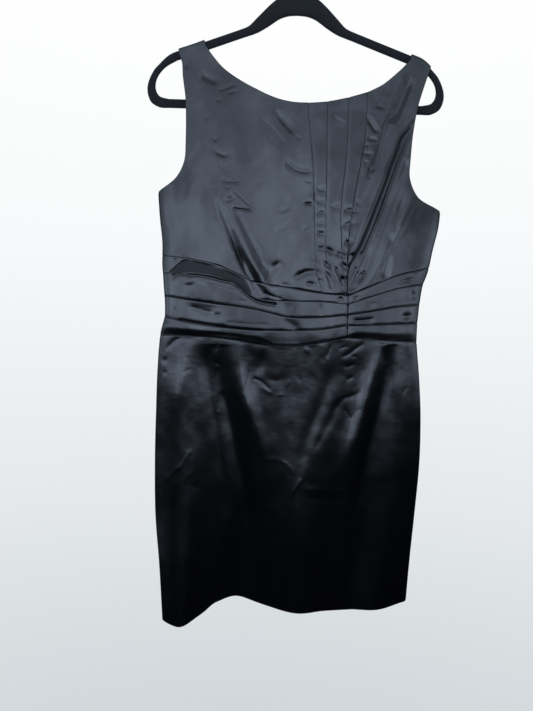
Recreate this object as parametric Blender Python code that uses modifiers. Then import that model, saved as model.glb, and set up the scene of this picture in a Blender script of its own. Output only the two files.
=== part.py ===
"""A sleeveless cocktail dress on a slim flocked hanger.

The dress faces -Y and hangs with its width along X. The origin is the inside top of the hanger's
hook, where a rail carries it. Tables are in millimetres, and meshes are in metres.

Each cloth piece starts as its flat cut, in x and z, with its fold lines as edges. The cut is then
laid on the form of the hanging dress, once for the wall's outer side and once for its inner side.
"""

import math
from collections import namedtuple

import bmesh
import bpy
from mathutils import Vector
from mathutils.geometry import delaunay_2d_cdt

MM = 0.001
CLOTH = 2.0
GAP = 0.3
HALF_GAP = GAP / 2
SHARP_ANGLE = math.radians(35)
FRONT = -1
BACK = 1

HANGER_THICKNESS = 5.5
HANGER_EDGE = 1.6
BAR_TOP = -228.0
BAR_BOTTOM = -241.0
STRAP_CLEARANCE = 0.8
STRAP_RADIUS = HANGER_THICKNESS / 2 + STRAP_CLEARANCE + CLOTH
STRAP_INNER_X = 140.0

ARM_START_X = 90.0
ARM_START_Z = -121.2
ARM_SLOPE = 0.375
ARM_BEND_X = 185.0
ARM_BEND = 0.02
ARM_END_X = 204.0

HOOK_WIRE_RADIUS = 1.75
HOOK_INNER_RADIUS = 18.0
CROWN_TOP = -62.0

CENTRE_BACK_X = 4.0
CENTRE_FRONT_SEAM_X = 85.0
BACK_WAIST_Z = -587.0
LEFT_UNDERARM_Z = -371.0
RIGHT_UNDERARM_Z = -389.0

FRONT_FILL = 110.0
BACK_FILL = 62.0
SIDE_ROUNDNESS = 2.6
SIDE_SWING_POWER = 6
FOLD_EDGE_FADE = 8

PLEAT_STEP_WIDTH = 1.2
FIRST_PLEAT_WIDTH = 26.0
BAND_STEP_WIDTH = 1.0

FRONT_ROW_STEP = 17.0
BACK_ROW_STEP = 26.0
FRONT_COLUMNS = 24
BACK_COLUMNS = 16
CLEAR_SHARE = 0.3
EDGE_STEP = 12.0
SIDE_STEP = 16.0
HANGER_STEP = 6.0
STRAP_ROWS = 4
STRAP_ROW_MARGIN = 0.5

# Sections of the hanging form. left and right are its side edges, left_y and right_y how far back
# those edges lie, and front and back the depth of each face from them at the middle.
Section = namedtuple("Section", "z left right left_y right_y front back")
SECTIONS = (
    Section(-130, -206, 224, 0, 0, 13, 12),
    Section(-250, -206, 224, 0, 0, 19, 12),
    Section(-330, -206, 223, 0, 0, 25, 12),
    Section(-372, -204.5, 225, 0, 0, 27, 12),
    Section(-410, -201, 223, 0, 0, 28, 12),
    Section(-445, -196.5, 215.5, 0, 0, 28, 12),
    Section(-480, -195.5, 208.5, 0, 0, 27.5, 12),
    Section(-505, -193, 200.5, 0, 0, 27, 12),
    Section(-555, -189.5, 195, 0, 0, 26.5, 11),
    Section(-585, -195.5, 194.5, 0, 0, 26, 11),
    Section(-640, -198.5, 200, 0, 0, 20, 12),
    Section(-700, -198.5, 204, -2, 0, 17.5, 13),
    Section(-770, -197, 204, -8, 0, 16.5, 14),
    Section(-850, -191.5, 198.5, -20, 0, 15, 14),
    Section(-920, -180.5, 193, -36, 0, 13, 14),
    Section(-1000, -170.5, 188, -50, 0, 12, 14),
)

# Soft folds that both sides of the wall follow, from top to bottom. A plus depth stands out from
# the face and a minus depth sinks into it.
Fold = namedtuple("Fold", "x z depth width")
FRONT_FOLDS = {
    "dart_hollow": (
        Fold(-113, -384, 0, 6),
        Fold(-96, -420, -2.5, 6),
        Fold(-74, -466, -5, 7),
        Fold(-52, -510, -4, 7),
        Fold(-45, -530, 0, 8),
    ),
    "dart_ridge": (
        Fold(-98, -390, 0, 8),
        Fold(-78, -430, 2.5, 9),
        Fold(-58, -475, 5, 9),
        Fold(-38, -510, 3.5, 10),
        Fold(-30, -532, 0, 10),
    ),
    "drape_ridge": (
        Fold(160, -262, 0, 8),
        Fold(136, -330, 2.5, 11),
        Fold(114, -390, 3.5, 11),
        Fold(92, -450, 3, 9),
        Fold(78, -500, 1, 7),
        Fold(74, -520, 0, 7),
    ),
    "drape_hollow": (
        Fold(178, -262, 0, 7),
        Fold(157, -320, -4, 7),
        Fold(137, -380, -6, 8),
        Fold(115, -440, -5, 7),
        Fold(98, -490, -2.5, 6),
        Fold(90, -522, 0, 6),
    ),
    "second_drape": (
        Fold(190, -330, 0, 9),
        Fold(170, -390, 3, 10),
        Fold(142, -450, 3, 8),
        Fold(112, -505, 0, 6),
    ),
    "gaping_pocket": (
        Fold(-152, -484, 0, 34),
        Fold(-148, -500, 4, 36),
        Fold(-140, -520, 2.5, 38),
        Fold(-130, -545, 0, 40),
    ),
    "left_roll": (
        Fold(-152, -592, 0, 26),
        Fold(-150, -700, 6, 25),
        Fold(-148, -850, 14, 22),
        Fold(-146, -1004, 22, 19),
    ),
    "left_hollow": (
        Fold(-106, -600, -1.5, 12),
        Fold(-91, -680, -6, 14),
        Fold(-66, -790, -9, 15),
        Fold(-58, -860, -10, 17),
        Fold(-74, -1004, -12, 20),
    ),
    "centre_lobe": (
        Fold(20, -592, 0, 80),
        Fold(18, -700, 6, 66),
        Fold(18, -850, 17, 50),
        Fold(24, -1004, 30, 42),
    ),
    "right_ridge": (
        Fold(141, -590, 1.5, 9),
        Fold(121, -655, 4, 10),
        Fold(104, -740, 5, 12),
        Fold(90, -850, 4, 15),
        Fold(80, -1004, 6, 24),
    ),
    "right_hollow": (
        Fold(152, -592, -1, 9),
        Fold(146, -660, -4, 12),
        Fold(132, -760, -6, 15),
        Fold(122, -870, -4, 18),
        Fold(112, -960, 0, 20),
    ),
    "right_lobe": (
        Fold(172, -600, 0, 16),
        Fold(170, -700, 3, 20),
        Fold(160, -850, 8, 26),
        Fold(138, -1004, 16, 36),
    ),
}
BACK_FOLDS = {
    "right_shoulder_blade": (
        Fold(-96, -300, 0, 26),
        Fold(-92, -420, 2, 26),
        Fold(-88, -540, -1.5, 20),
        Fold(-92, -660, 1.5, 26),
    ),
    "left_waist_hollow": (
        Fold(112, -480, 0, 18),
        Fold(108, -560, -2.5, 20),
        Fold(118, -640, -1.5, 24),
        Fold(128, -760, 0, 26),
    ),
    "left_hem_hollow": (
        Fold(96, -700, 0, 22),
        Fold(92, -850, -4, 24),
        Fold(86, -1004, -7, 26),
    ),
    "right_hem_hollow": (
        Fold(-48, -720, 0, 20),
        Fold(-56, -850, -3, 24),
        Fold(-62, -1004, -6, 28),
    ),
}

# Right half of the hanger's outer edge, on both sides of its straight arm, and of its inner edge.
HANGER_CROWN = ((0, CROWN_TOP), (21, -65.5), (38, -77), (60, -99.5), (74, -114))
HANGER_END = ((217, -187), (225, -211), (220, -231.5), (206, -240.4), (190, BAR_BOTTOM))
HANGER_PEAK = ((0, -95.5), (14, -96.8), (27, -101.5), (45, -114), (61, -123.5), (85, -132.5))
HANGER_LOOP = (
    (182, -169), (199, -180), (210.5, -196), (212.5, -212), (206, -224), (192, BAR_TOP),
)

# The hook's stem above the crown, and the angles of its bow from +x towards +z.
HOOK_STEM = ((0, CROWN_TOP + GAP), (0, -54), (2.5, -46.5), (9, -38), (16.2, -29.3))
HOOK_BOW = (-22, 205)

# Edges of the cut, in x and z.
NECKLINE = (
    (-139, -146), (-125, -165), (-106, -185.5), (-70, -209.5), (-21, -231.5),
    (25, -236), (74, -227), (121, -208), (156, -178), (172, -160),
)
BACK_NECKLINE = (
    (-139, -146), (-127, -166), (-106, -188), (-66, -209), (-20, -220),
    (25, -224), (74, -216), (120, -199), (155, -178), (172, -160),
)
LEFT_ARMHOLE = (
    (-177, -353), (-164, -328), (-162.5, -300), (-165, -235),
    (-171, -195), (-173, -174), (-178, -160),
)
RIGHT_ARMHOLE = (
    (185.5, -372), (173, -346), (173, -320), (177, -275),
    (183, -238), (194, -200), (202, -175),
)
HEM = (
    (-171.5, -993), (-160, -998.5), (-140, -1000), (-117, -993), (-97, -980),
    (-60, -976.5), (-20, -982), (40, -984), (95, -986), (150, -983), (188, -979),
)
LEFT_STRAP_X = (-179.0, -140.0)
RIGHT_STRAP_X = (174.0, 203.5)

# Knife pleats of the bodice, from neckline to midriff. Each one's left side lies over its right.
PLEATS = (
    ((18, -237), (20, -259), (26, -330), (31, -370), (33, -433), (36, -489), (42, -524)),
    ((47, -234), (49, -292), (48, -340), (50, -400), (50, -445), (56, -475), (73, -524)),
    ((79, -228), (79, -262), (75, -336), (72, -413), (71, -444), (73, -475), (78.5, -524)),
    ((107, -216), (105, -254), (98, -328), (91, -365), (86, -432), (83, -472), (83.5, -524)),
    ((176, -262), (150, -319), (130, -379), (110, -434), (96, -470), (89, -498), (88, -524)),
)
PLEAT_HEIGHTS = (1.8, 2.0, 2.0, 2.3, 3.0)

# Midriff: heights of its seams and of its three folded edges, at stations across each half.
MIDRIFF_STATIONS = {
    "right": (-190, -150, -110, -80, -50, 0, 45, 85),
    "left": (85, 120, 160, 200),
}
MIDRIFF_LINES = {
    "top_seam": {
        "right": (-467, -473, -481.5, -494, -506, -513, -519.5, -521.5),
        "left": (-521.5, -506, -488.5, -477),
    },
    "first_fold": {
        "right": (-495, -494.5, -500, -511, -530, -534, -533.5, -536),
        "left": (-536, -523.5, -510, -501.5),
    },
    "second_fold": {
        "right": (-529, -536, -541, -544, -548.5, -558, -557, -552.5),
        "left": (-552.5, -546, -537.5, -532),
    },
    "third_fold": {
        "right": (-559.5, -569, -574, -576.5, -578, -577.5, -575, -568),
        "left": (-568, -566, -563, -560),
    },
    "skirt_seam": {
        "right": (-587, -588, -589, -592, -597, -599.5, -593, -584),
        "left": (-584, -585.5, -587, -587),
    },
}
BAND_EDGES = ("first_fold", "second_fold", "third_fold")
BAND_HEIGHT = 2.2

ZIP_WIDTH = 22.0
ZIP_THICKNESS = 1.0
ZIP_TOP = -228.0
ZIP_BOTTOM = -700.0
SLIDER_WIDTH = 6.4
SLIDER_DEPTH = 2.2
SLIDER_HEIGHT = 9.0
SLIDER_Z = -236.0
SLIDER_EDGE = 0.6
BRIDGE_WIRE_RADIUS = 0.5
BRIDGE_HALF_SPAN = 3.1
BRIDGE_REACH = 2.2
BRIDGE_CORNER = 0.8
TAB_THICKNESS = 1.0
TAB_HALF_WIDTH = 2.6
TAB_TIP_RADIUS = 3.2
TAB_EYE_HALF_WIDTH = 1.4
TAB_BAR = 0.5
TAB_EYE_END = 4.6
TAB_LENGTH = 17.0
TAB_AXIS_HEIGHT = 1.1

COLOURS = {
    "satin": ((0.012, 0.014, 0.018, 1), 0.38, 0.0),
    "zip_tape": ((0.010, 0.011, 0.014, 1), 0.8, 0.0),
    "zip_metal": ((0.02, 0.02, 0.022, 1), 0.35, 0.8),
    "flock": ((0.008, 0.008, 0.009, 1), 0.95, 0.0),
    "chrome": ((0.75, 0.76, 0.78, 1), 0.15, 1.0),
}


def clear_scene():
    for obj in list(bpy.data.objects):
        bpy.data.objects.remove(obj, do_unlink=True)


def material(name, slot):
    colour, roughness, metallic = COLOURS[slot]
    made = bpy.data.materials.new(name)
    made.use_nodes = True
    shader = made.node_tree.nodes["Principled BSDF"]
    shader.inputs["Base Color"].default_value = colour
    shader.inputs["Roughness"].default_value = roughness
    shader.inputs["Metallic"].default_value = metallic
    return made


def keep(name, data, slot, collection):
    obj = bpy.data.objects.new(name, data)
    collection.objects.link(obj)
    data.materials.append(material(name, slot))
    return obj


# Curves through the tables' points


def hermite(t, start, end, start_slope, end_slope):
    t2 = t * t
    t3 = t2 * t
    return (
        (2 * t3 - 3 * t2 + 1) * start
        + (t3 - 2 * t2 + t) * start_slope
        + (3 * t2 - 2 * t3) * end
        + (t3 - t2) * end_slope
    )


def smooth_value(keys, values, key):
    """A smooth curve through the values at rising keys, held straight past its ends."""
    last = len(keys) - 1
    i = max(0, min(last - 1, sum(k <= key for k in keys) - 1))

    def slope(j):
        low, high = max(0, j - 1), min(last, j + 1)
        return (values[high] - values[low]) / (keys[high] - keys[low])

    width = keys[i + 1] - keys[i]
    t = (key - keys[i]) / width
    if t < 0:
        return values[i] + slope(i) * (key - keys[i])
    if t > 1:
        return values[i + 1] + slope(i + 1) * (key - keys[i + 1])
    return hermite(t, values[i], values[i + 1], slope(i) * width, slope(i + 1) * width)


def smooth_path(points, step=EDGE_STEP):
    """Points about a step apart on a smooth curve through the given ones."""
    lengths = [0.0]
    for a, b in zip(points, points[1:]):
        lengths.append(lengths[-1] + math.dist(a, b))
    count = max(2, round(lengths[-1] / step))
    stops = [lengths[-1] * i / count for i in range(count + 1)]
    return [
        tuple(smooth_value(lengths, [p[axis] for p in points], stop) for axis in (0, 1))
        for stop in stops
    ]


def ease(t):
    t = max(0.0, min(1.0, t))
    return t * t * (3 - 2 * t)


def across(start, end, step=EDGE_STEP):
    """Even stations from start to end, both included."""
    count = max(1, round(abs(end - start) / step))
    return [start + (end - start) * i / count for i in range(count + 1)]


# The form of the hanging dress

DOWN = [-row.z for row in SECTIONS]
COLUMNS = {name: [getattr(row, name) for row in SECTIONS] for name in Section._fields}


def section(name, z):
    return smooth_value(DOWN, COLUMNS[name], -z)


def arm_top(x):
    """Height of the hanger arm's upper edge, which bends down near its end."""
    reach = abs(x)
    bend = max(0.0, reach - ARM_BEND_X)
    return ARM_START_Z - ARM_SLOPE * (reach - ARM_START_X) - ARM_BEND * bend * bend


def strap_arc_base(x):
    """Height at which a strap starts to turn over the hanger arm."""
    reach = max(abs(x), STRAP_INNER_X)
    return arm_top(reach) + STRAP_CLEARANCE + CLOTH - STRAP_RADIUS


def strap_end(x):
    """Flat height of the shoulder seam, a quarter turn past the start of the arc."""
    return strap_arc_base(x) + STRAP_RADIUS * math.pi / 2


def fold_depth(stations, x, z):
    if not stations[-1].z <= z <= stations[0].z:
        return 0.0
    down = [-stop.z for stop in stations]
    centre, depth, width = (
        smooth_value(down, [getattr(stop, name) for stop in stations], -z)
        for name in ("x", "depth", "width")
    )
    return depth * math.exp(-(((x - centre) / width) ** 2))


def place(x, z, face, inset):
    """A point of the cut laid on the form, inset millimetres under its outer side."""
    base = strap_arc_base(x)
    if z > base:
        turn = (z - base) / STRAP_RADIUS
        radius = STRAP_RADIUS - inset
        y = max(radius * math.cos(turn), HALF_GAP)
        return Vector((x, face * y, base + radius * math.sin(turn)))
    left, right = section("left", z), section("right", z)
    middle, half = (left + right) / 2, (right - left) / 2
    s = max(-1.0, min(1.0, (x - middle) / half))
    roundness = math.sqrt(1 - abs(s) ** SIDE_ROUNDNESS)
    depth = (section("front" if face == FRONT else "back", z) - inset) * roundness
    fill = ease((base - z) / (FRONT_FILL if face == FRONT else BACK_FILL))
    depth = (STRAP_RADIUS - inset) * (1 - fill) + depth * fill
    folds = FRONT_FOLDS if face == FRONT else BACK_FOLDS
    inside = 1 - abs(s) ** FOLD_EDGE_FADE
    depth += inside * sum(fold_depth(stations, x, z) for stations in folds.values())
    side_y = section("left_y", z) * ((1 - s) / 2) ** SIDE_SWING_POWER
    side_y += section("right_y", z) * ((1 + s) / 2) ** SIDE_SWING_POWER
    return Vector((middle + s * (half - inset), side_y + face * (depth + HALF_GAP), z))


def midriff_line(name, half, x):
    return smooth_value(MIDRIFF_STATIONS[half], MIDRIFF_LINES[name][half], x)


def pleat_x(points, z):
    return smooth_value([-p[1] for p in points], [p[0] for p in points], -z)


def pleat_relief(x, z):
    """How far the pleats stand out: each panel rises to the fold on its right."""
    folds = [(pleat_x(points, z), height) for points, height in zip(PLEATS, PLEAT_HEIGHTS)]
    before = folds[0][0] - FIRST_PLEAT_WIDTH
    for fold_x, height in folds:
        if before < x < fold_x:
            return height * ((x - before) / (fold_x - before)) ** 1.5
        before = fold_x
    return 0.0


def band_relief(half):
    """How far the midriff's bands stand out: each is folded at its top edge."""

    def relief(x, z):
        names = [*BAND_EDGES, "skirt_seam"]
        for upper, lower in zip(names, names[1:]):
            top, low = midriff_line(upper, half, x), midriff_line(lower, half, x)
            if low < z < top:
                return BAND_HEIGHT * ((z - low) / (top - low)) ** 1.5
        return 0.0

    return relief


# Flat cuts


def inside(point, outline):
    x, z = point
    crossed = False
    for (ax, az), (bx, bz) in zip(outline, outline[1:] + outline[:1]):
        if (az > z) != (bz > z) and x < ax + (z - az) * (bx - ax) / (bz - az):
            crossed = not crossed
    return crossed


def distance(point, a, b):
    along, reach = Vector(b) - Vector(a), Vector(point) - Vector(a)
    t = max(0.0, min(1.0, reach.dot(along) / max(along.length_squared, 1e-9)))
    return (reach - along * t).length


def grid_points(outline, lines, columns, row_step):
    """Points of a grid, closer together near the sides, that keep clear of the edges and folds."""
    top, low = max(p[1] for p in outline), min(p[1] for p in outline)
    edges = list(zip(outline, outline[1:] + outline[:1]))
    edges += [pair for line in lines for pair in zip(line, line[1:])]
    found = []
    for row in range(math.ceil(low / row_step), math.floor(top / row_step) + 1):
        z = row * row_step
        left, right = section("left", z), section("right", z)
        near = [
            (a, b)
            for a, b in edges
            if min(a[1], b[1]) - row_step < z < max(a[1], b[1]) + row_step
        ]
        for column in range(1, columns):
            turn = math.pi * (column / columns - 0.5)
            point = ((left + right) / 2 + math.sin(turn) * (right - left) / 2, z)
            spacing = (right - left) / 2 * math.cos(turn) * math.pi / columns
            room = CLEAR_SHARE * min(row_step, spacing)
            if inside(point, outline) and all(distance(point, a, b) > room for a, b in near):
                found.append(point)
    return found


def cut_mesh(outline, lines, columns, row_step):
    """The flat cut as a triangle mesh, with its outline and its fold lines kept as edges."""
    points = list(outline)
    edges = [(i, (i + 1) % len(outline)) for i in range(len(outline))]
    for line in lines:
        edges += [(len(points) + i, len(points) + i + 1) for i in range(len(line) - 1)]
        points += line
    points += grid_points(outline, lines, columns, row_step)
    face = list(range(len(outline)))
    verts, _, faces, *_ = delaunay_2d_cdt([Vector(p) for p in points], edges, [face], 1, 1e-4)
    mesh = bmesh.new()
    made = [mesh.verts.new((p.x, 0, p.y)) for p in verts]
    for corners in faces:
        mesh.faces.new([made[i] for i in corners])
    loose = [v for v in mesh.verts if not v.link_faces]
    bmesh.ops.delete(mesh, geom=loose, context="VERTS")
    return mesh


def cloth(name, collection, outline, face, lines=(), relief=None):
    """A piece of cloth: its cut on the form, with relief in the outer side over a plain inner side."""
    columns, row_step = (
        (FRONT_COLUMNS, FRONT_ROW_STEP) if face == FRONT else (BACK_COLUMNS, BACK_ROW_STEP)
    )
    mesh = cut_mesh(outline, lines, columns, row_step)
    layer(name, collection, mesh, face, (0.0, CLOTH), "satin", relief)


def layer(name, collection, mesh, face, insets, slot, relief=None):
    """A flat cut made solid between two insets from the form's outer side."""
    grown = bmesh.ops.extrude_face_region(mesh, geom=mesh.faces[:])
    outer_verts = {v for v in grown["geom"] if isinstance(v, bmesh.types.BMVert)}
    for vert in mesh.verts:
        x, z = vert.co.x, vert.co.z
        outer = vert in outer_verts
        point = place(x, z, face, insets[0] if outer else insets[1])
        if outer and relief:
            point.y += face * relief(x, z)
        vert.co = point * MM
    bmesh.ops.recalc_face_normals(mesh, faces=mesh.faces[:])
    if mesh.calc_volume(signed=True) < 0:
        bmesh.ops.reverse_faces(mesh, faces=mesh.faces[:])
    data = bpy.data.meshes.new(name)
    mesh.to_mesh(data)
    mesh.free()
    data.shade_smooth()
    data.set_sharp_from_angle(angle=SHARP_ANGLE)
    keep(name, data, slot, collection)


def levels(top, low, step):
    """Heights from top to low, which between them are the same on every piece."""
    marks = [-step * k for k in range(round(-top / step), round(-low / step) + 1)]
    return [top, *[z for z in marks if low + step / 4 < z < top - step / 4], low]


def side_points(side, top, low):
    return [(section(side, z), z) for z in levels(top, low, SIDE_STEP)]


def plumb_points(x, top, low, step=BACK_ROW_STEP):
    return [(x, z) for z in levels(top, low, step)]


def side_height(height_at, side):
    """The height at which a line across the cut meets a side seam."""
    z = BACK_WAIST_Z
    for _ in range(12):
        z = height_at(section(side, z))
    return z


def line_points(height_at, start, end):
    return [(x, height_at(x)) for x in across(start, end)]


def seam(name, half, lift):
    return lambda x: midriff_line(name, half, x) + lift


def seam_to_side(name, lift, half, centre_x):
    """A midriff line from the centre front to its side seam."""
    side = "left" if half == "right" else "right"
    height_at = seam(name, half, lift)
    end_z = side_height(height_at, side)
    points = line_points(height_at, centre_x, section(side, end_z))
    return points[:-1] + [(section(side, end_z), end_z)]


def whole_seam(name, lift):
    """A midriff line from the left side seam to the right one."""
    right_half = seam_to_side(name, lift, "right", CENTRE_FRONT_SEAM_X)
    left_half = seam_to_side(name, lift, "left", CENTRE_FRONT_SEAM_X)
    return right_half[::-1] + left_half[1:]


def upper_edges(neckline):
    """From the left underarm over both straps to the right underarm."""
    left_underarm = (section("left", LEFT_UNDERARM_Z), LEFT_UNDERARM_Z)
    right_underarm = (section("right", RIGHT_UNDERARM_Z), RIGHT_UNDERARM_Z)
    left_armhole = smooth_path([left_underarm, *LEFT_ARMHOLE])
    right_armhole = smooth_path([right_underarm, *RIGHT_ARMHOLE])
    left_strap = line_points(strap_end, *LEFT_STRAP_X)
    right_strap = line_points(strap_end, *RIGHT_STRAP_X)
    left_turn = [(x, (strap_end(x) + strap_arc_base(x)) / 2) for x in LEFT_STRAP_X]
    right_turn = [(x, (strap_end(x) + strap_arc_base(x)) / 2) for x in RIGHT_STRAP_X]
    return [
        *left_armhole, left_turn[0], *left_strap, left_turn[1],
        *smooth_path(neckline),
        right_turn[0], *right_strap, right_turn[1], *right_armhole[::-1],
    ]


def strap_lines():
    """Rows that let a strap turn smoothly over the hanger arm."""
    rows = []
    for start, end in (LEFT_STRAP_X, RIGHT_STRAP_X):
        for row in range(STRAP_ROWS):
            lift = row / STRAP_ROWS * STRAP_RADIUS * math.pi / 2
            stations = across(start + STRAP_ROW_MARGIN, end - STRAP_ROW_MARGIN, HANGER_STEP)
            rows.append([(x, strap_arc_base(x) + lift) for x in stations])
    return rows


def pleat_lines():
    """Each pleat's fold and the foot beside it."""
    lines = []
    for points in PLEATS:
        for shift in (-PLEAT_STEP_WIDTH / 2, PLEAT_STEP_WIDTH / 2):
            path = smooth_path(points, EDGE_STEP)
            lines.append([(x + shift, z) for x, z in path])
    return lines


def band_lines(half):
    """Each band's folded edge and the foot above it, past the ends so that they cross the edges."""
    start = MIDRIFF_STATIONS[half][0] - EDGE_STEP
    end = MIDRIFF_STATIONS[half][-1] + EDGE_STEP
    return [
        line_points(seam(name, half, shift), start, end)
        for name in BAND_EDGES
        for shift in (-BAND_STEP_WIDTH / 2, BAND_STEP_WIDTH / 2)
    ]


# Pieces of the dress


def make_bodice_front(collection):
    low = whole_seam("top_seam", HALF_GAP)
    left_side = side_points("left", LEFT_UNDERARM_Z, low[0][1])
    right_side = side_points("right", RIGHT_UNDERARM_Z, low[-1][1])
    outline = [*upper_edges(NECKLINE), *right_side[1:-1], *low[::-1], *left_side[1:-1][::-1]]
    lines = strap_lines() + pleat_lines()
    cloth("bodice_front", collection, outline, FRONT, lines, pleat_relief)


def make_midriff(collection, half):
    side = "left" if half == "right" else "right"
    centre_x = CENTRE_FRONT_SEAM_X + (-HALF_GAP if half == "right" else HALF_GAP)
    top = seam_to_side("top_seam", -HALF_GAP, half, centre_x)
    low = seam_to_side("skirt_seam", HALF_GAP, half, centre_x)
    sides = side_points(side, top[-1][1], low[-1][1])[1:-1]
    centre = plumb_points(centre_x, top[0][1], low[0][1], SIDE_STEP)[1:-1]
    outline = [*top, *sides, *low[::-1], *centre[::-1]]
    cloth(f"midriff_{half}", collection, outline, FRONT, band_lines(half), band_relief(half))


def make_skirt_front(collection):
    top = whole_seam("skirt_seam", -HALF_GAP)
    hem = smooth_path(HEM)
    right_side = side_points("right", top[-1][1], hem[-1][1])
    left_side = side_points("left", top[0][1], hem[0][1])
    outline = [*top, *right_side[1:], *hem[::-1][1:-1], *left_side[1:][::-1]]
    cloth("skirt_front", collection, outline, FRONT)


def centre_back_edge(outline, half):
    """The part of an outline, running left to right, on one side of the centre back."""
    centre = CENTRE_BACK_X + (-HALF_GAP if half == "right" else HALF_GAP)
    for (ax, az), (bx, bz) in zip(outline, outline[1:]):
        if ax < centre <= bx:
            middle = (centre, az + (bz - az) * (centre - ax) / (bx - ax))
    if half == "right":
        return [p for p in outline if p[0] < centre - 1] + [middle]
    return [middle] + [p for p in outline if p[0] > centre + 1]


def make_bodice_back(collection, half):
    upper = centre_back_edge(upper_edges(BACK_NECKLINE), half)
    centre_x = upper[-1][0] if half == "right" else upper[0][0]
    side = "left" if half == "right" else "right"
    underarm = LEFT_UNDERARM_Z if half == "right" else RIGHT_UNDERARM_Z
    low_z = BACK_WAIST_Z + HALF_GAP
    sides = side_points(side, underarm, low_z)[1:]
    low = [(x, low_z) for x in across(section(side, low_z), centre_x, 2 * EDGE_STEP)][1:]
    centre_top = upper[-1][1] if half == "right" else upper[0][1]
    centre = plumb_points(centre_x, centre_top, low_z)[1:-1]
    if half == "right":
        outline = [*upper, *centre, *low[::-1], *sides[::-1]]
    else:
        outline = [*upper, *sides, *low, *centre[::-1]]
    lines = strap_lines()
    lines = lines[: len(lines) // 2] if half == "right" else lines[len(lines) // 2 :]
    lines.append(tape_line(half, ZIP_TOP, low_z))
    cloth(f"bodice_back_{half}", collection, outline, BACK, lines)


def tape_line(half, top, low):
    """The line on a back piece that the edge of the zip's tape lies behind."""
    reach = ZIP_WIDTH / 2
    return plumb_points(CENTRE_BACK_X + (-reach if half == "right" else reach), top, low)


def make_skirt_back(collection, half):
    side = "left" if half == "right" else "right"
    hem = centre_back_edge(smooth_path(HEM), half)
    top_z = BACK_WAIST_Z - HALF_GAP
    if half == "left":
        hem = hem[::-1]
    centre_x = hem[-1][0]
    top = [(x, top_z) for x in across(centre_x, section(side, top_z), 2 * EDGE_STEP)]
    sides = side_points(side, top_z, hem[0][1])[1:-1]
    centre = plumb_points(centre_x, top_z, hem[-1][1])[1:-1]
    outline = [*top, *sides, *hem, *centre[::-1]]
    cloth(f"skirt_back_{half}", collection, outline, BACK, [tape_line(half, top_z, ZIP_BOTTOM)])


def make_zip_tape(collection):
    """The zip's tapes, inside the centre back seam."""
    edge = tape_line("right", ZIP_TOP, ZIP_BOTTOM) + tape_line("left", ZIP_TOP, ZIP_BOTTOM)[::-1]
    mesh = cut_mesh(edge, (), BACK_COLUMNS, BACK_ROW_STEP)
    outer = CLOTH + GAP
    layer("zip_tape", collection, mesh, BACK, (outer, outer + ZIP_THICKNESS), "zip_tape")


# Zip slider and pull tab


def wire(name, points, radius):
    curve = bpy.data.curves.new(name, "CURVE")
    curve.dimensions = "3D"
    curve.bevel_depth = radius * MM
    curve.bevel_resolution = 2
    curve.use_fill_caps = True
    spline = curve.splines.new("POLY")
    spline.points.add(len(points) - 1)
    for control, point in zip(spline.points, points):
        control.co = (*[value * MM for value in point], 1)
    return curve


def mesh_of(curve_obj):
    """A curve's evaluated shape as a welded mesh."""
    graph = bpy.context.evaluated_depsgraph_get()
    data = bpy.data.meshes.new_from_object(curve_obj.evaluated_get(graph))
    welded = bmesh.new()
    welded.from_mesh(data)
    bmesh.ops.remove_doubles(welded, verts=welded.verts, dist=0.001 * MM)
    welded.to_mesh(data)
    welded.free()
    return data


def slider_face_y():
    """Depth of the slider's outer face, which stands on the cloth of the centre back."""
    return place(CENTRE_BACK_X, SLIDER_Z, BACK, 0.0).y + GAP + SLIDER_DEPTH


def make_slider(collection, cutters):
    face_y = slider_face_y()
    box = bmesh.new()
    bmesh.ops.create_cube(box, size=1)
    size = Vector((SLIDER_WIDTH, SLIDER_DEPTH, SLIDER_HEIGHT)) * MM
    bmesh.ops.scale(box, vec=size, verts=box.verts)
    data = bpy.data.meshes.new("zip_slider")
    box.to_mesh(data)
    box.free()
    slider = keep("zip_slider", data, "zip_metal", collection)
    slider.location = Vector((CENTRE_BACK_X, face_y - SLIDER_DEPTH / 2, SLIDER_Z)) * MM
    bevel = slider.modifiers.new("rounded_edges", "BEVEL")
    bevel.width = SLIDER_EDGE * MM
    bevel.segments = 2

    root = face_y - SLIDER_DEPTH / 2
    reach = face_y + BRIDGE_REACH + BRIDGE_WIRE_RADIUS
    half_arch = [
        (root, BRIDGE_HALF_SPAN),
        (reach - BRIDGE_CORNER, BRIDGE_HALF_SPAN),
        (reach, BRIDGE_HALF_SPAN - BRIDGE_CORNER),
    ]
    arch = half_arch + [(y, -z) for y, z in half_arch[::-1]]
    points = [(CENTRE_BACK_X, y, SLIDER_Z + z) for y, z in arch]
    bent = bpy.data.objects.new("bridge_wire", wire("bridge_wire", points, BRIDGE_WIRE_RADIUS))
    cutters.objects.link(bent)
    bpy.context.view_layer.update()
    bridge = bpy.data.objects.new("bridge", mesh_of(bent))
    cutters.objects.link(bridge)
    bpy.data.objects.remove(bent)
    bridge.hide_render = True
    bridge.display_type = "WIRE"
    union = slider.modifiers.new("bridge", "BOOLEAN")
    union.operation = "UNION"
    union.object = bridge


def flat_curve(name, outlines, thickness, edge=0.0):
    """A flat plate in x and z, from closed outlines: the first is its edge, the others its holes."""
    curve = bpy.data.curves.new(name, "CURVE")
    curve.dimensions = "2D"
    curve.fill_mode = "BOTH"
    curve.extrude = (thickness / 2 - edge) * MM
    curve.bevel_depth = edge * MM
    curve.bevel_resolution = 1
    curve.offset = -edge * MM
    for outline in outlines:
        spline = curve.splines.new("POLY")
        spline.points.add(len(outline) - 1)
        spline.use_cyclic_u = True
        for control, (x, z) in zip(spline.points, outline):
            control.co = (x * MM, z * MM, 0, 1)
    return curve


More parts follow.
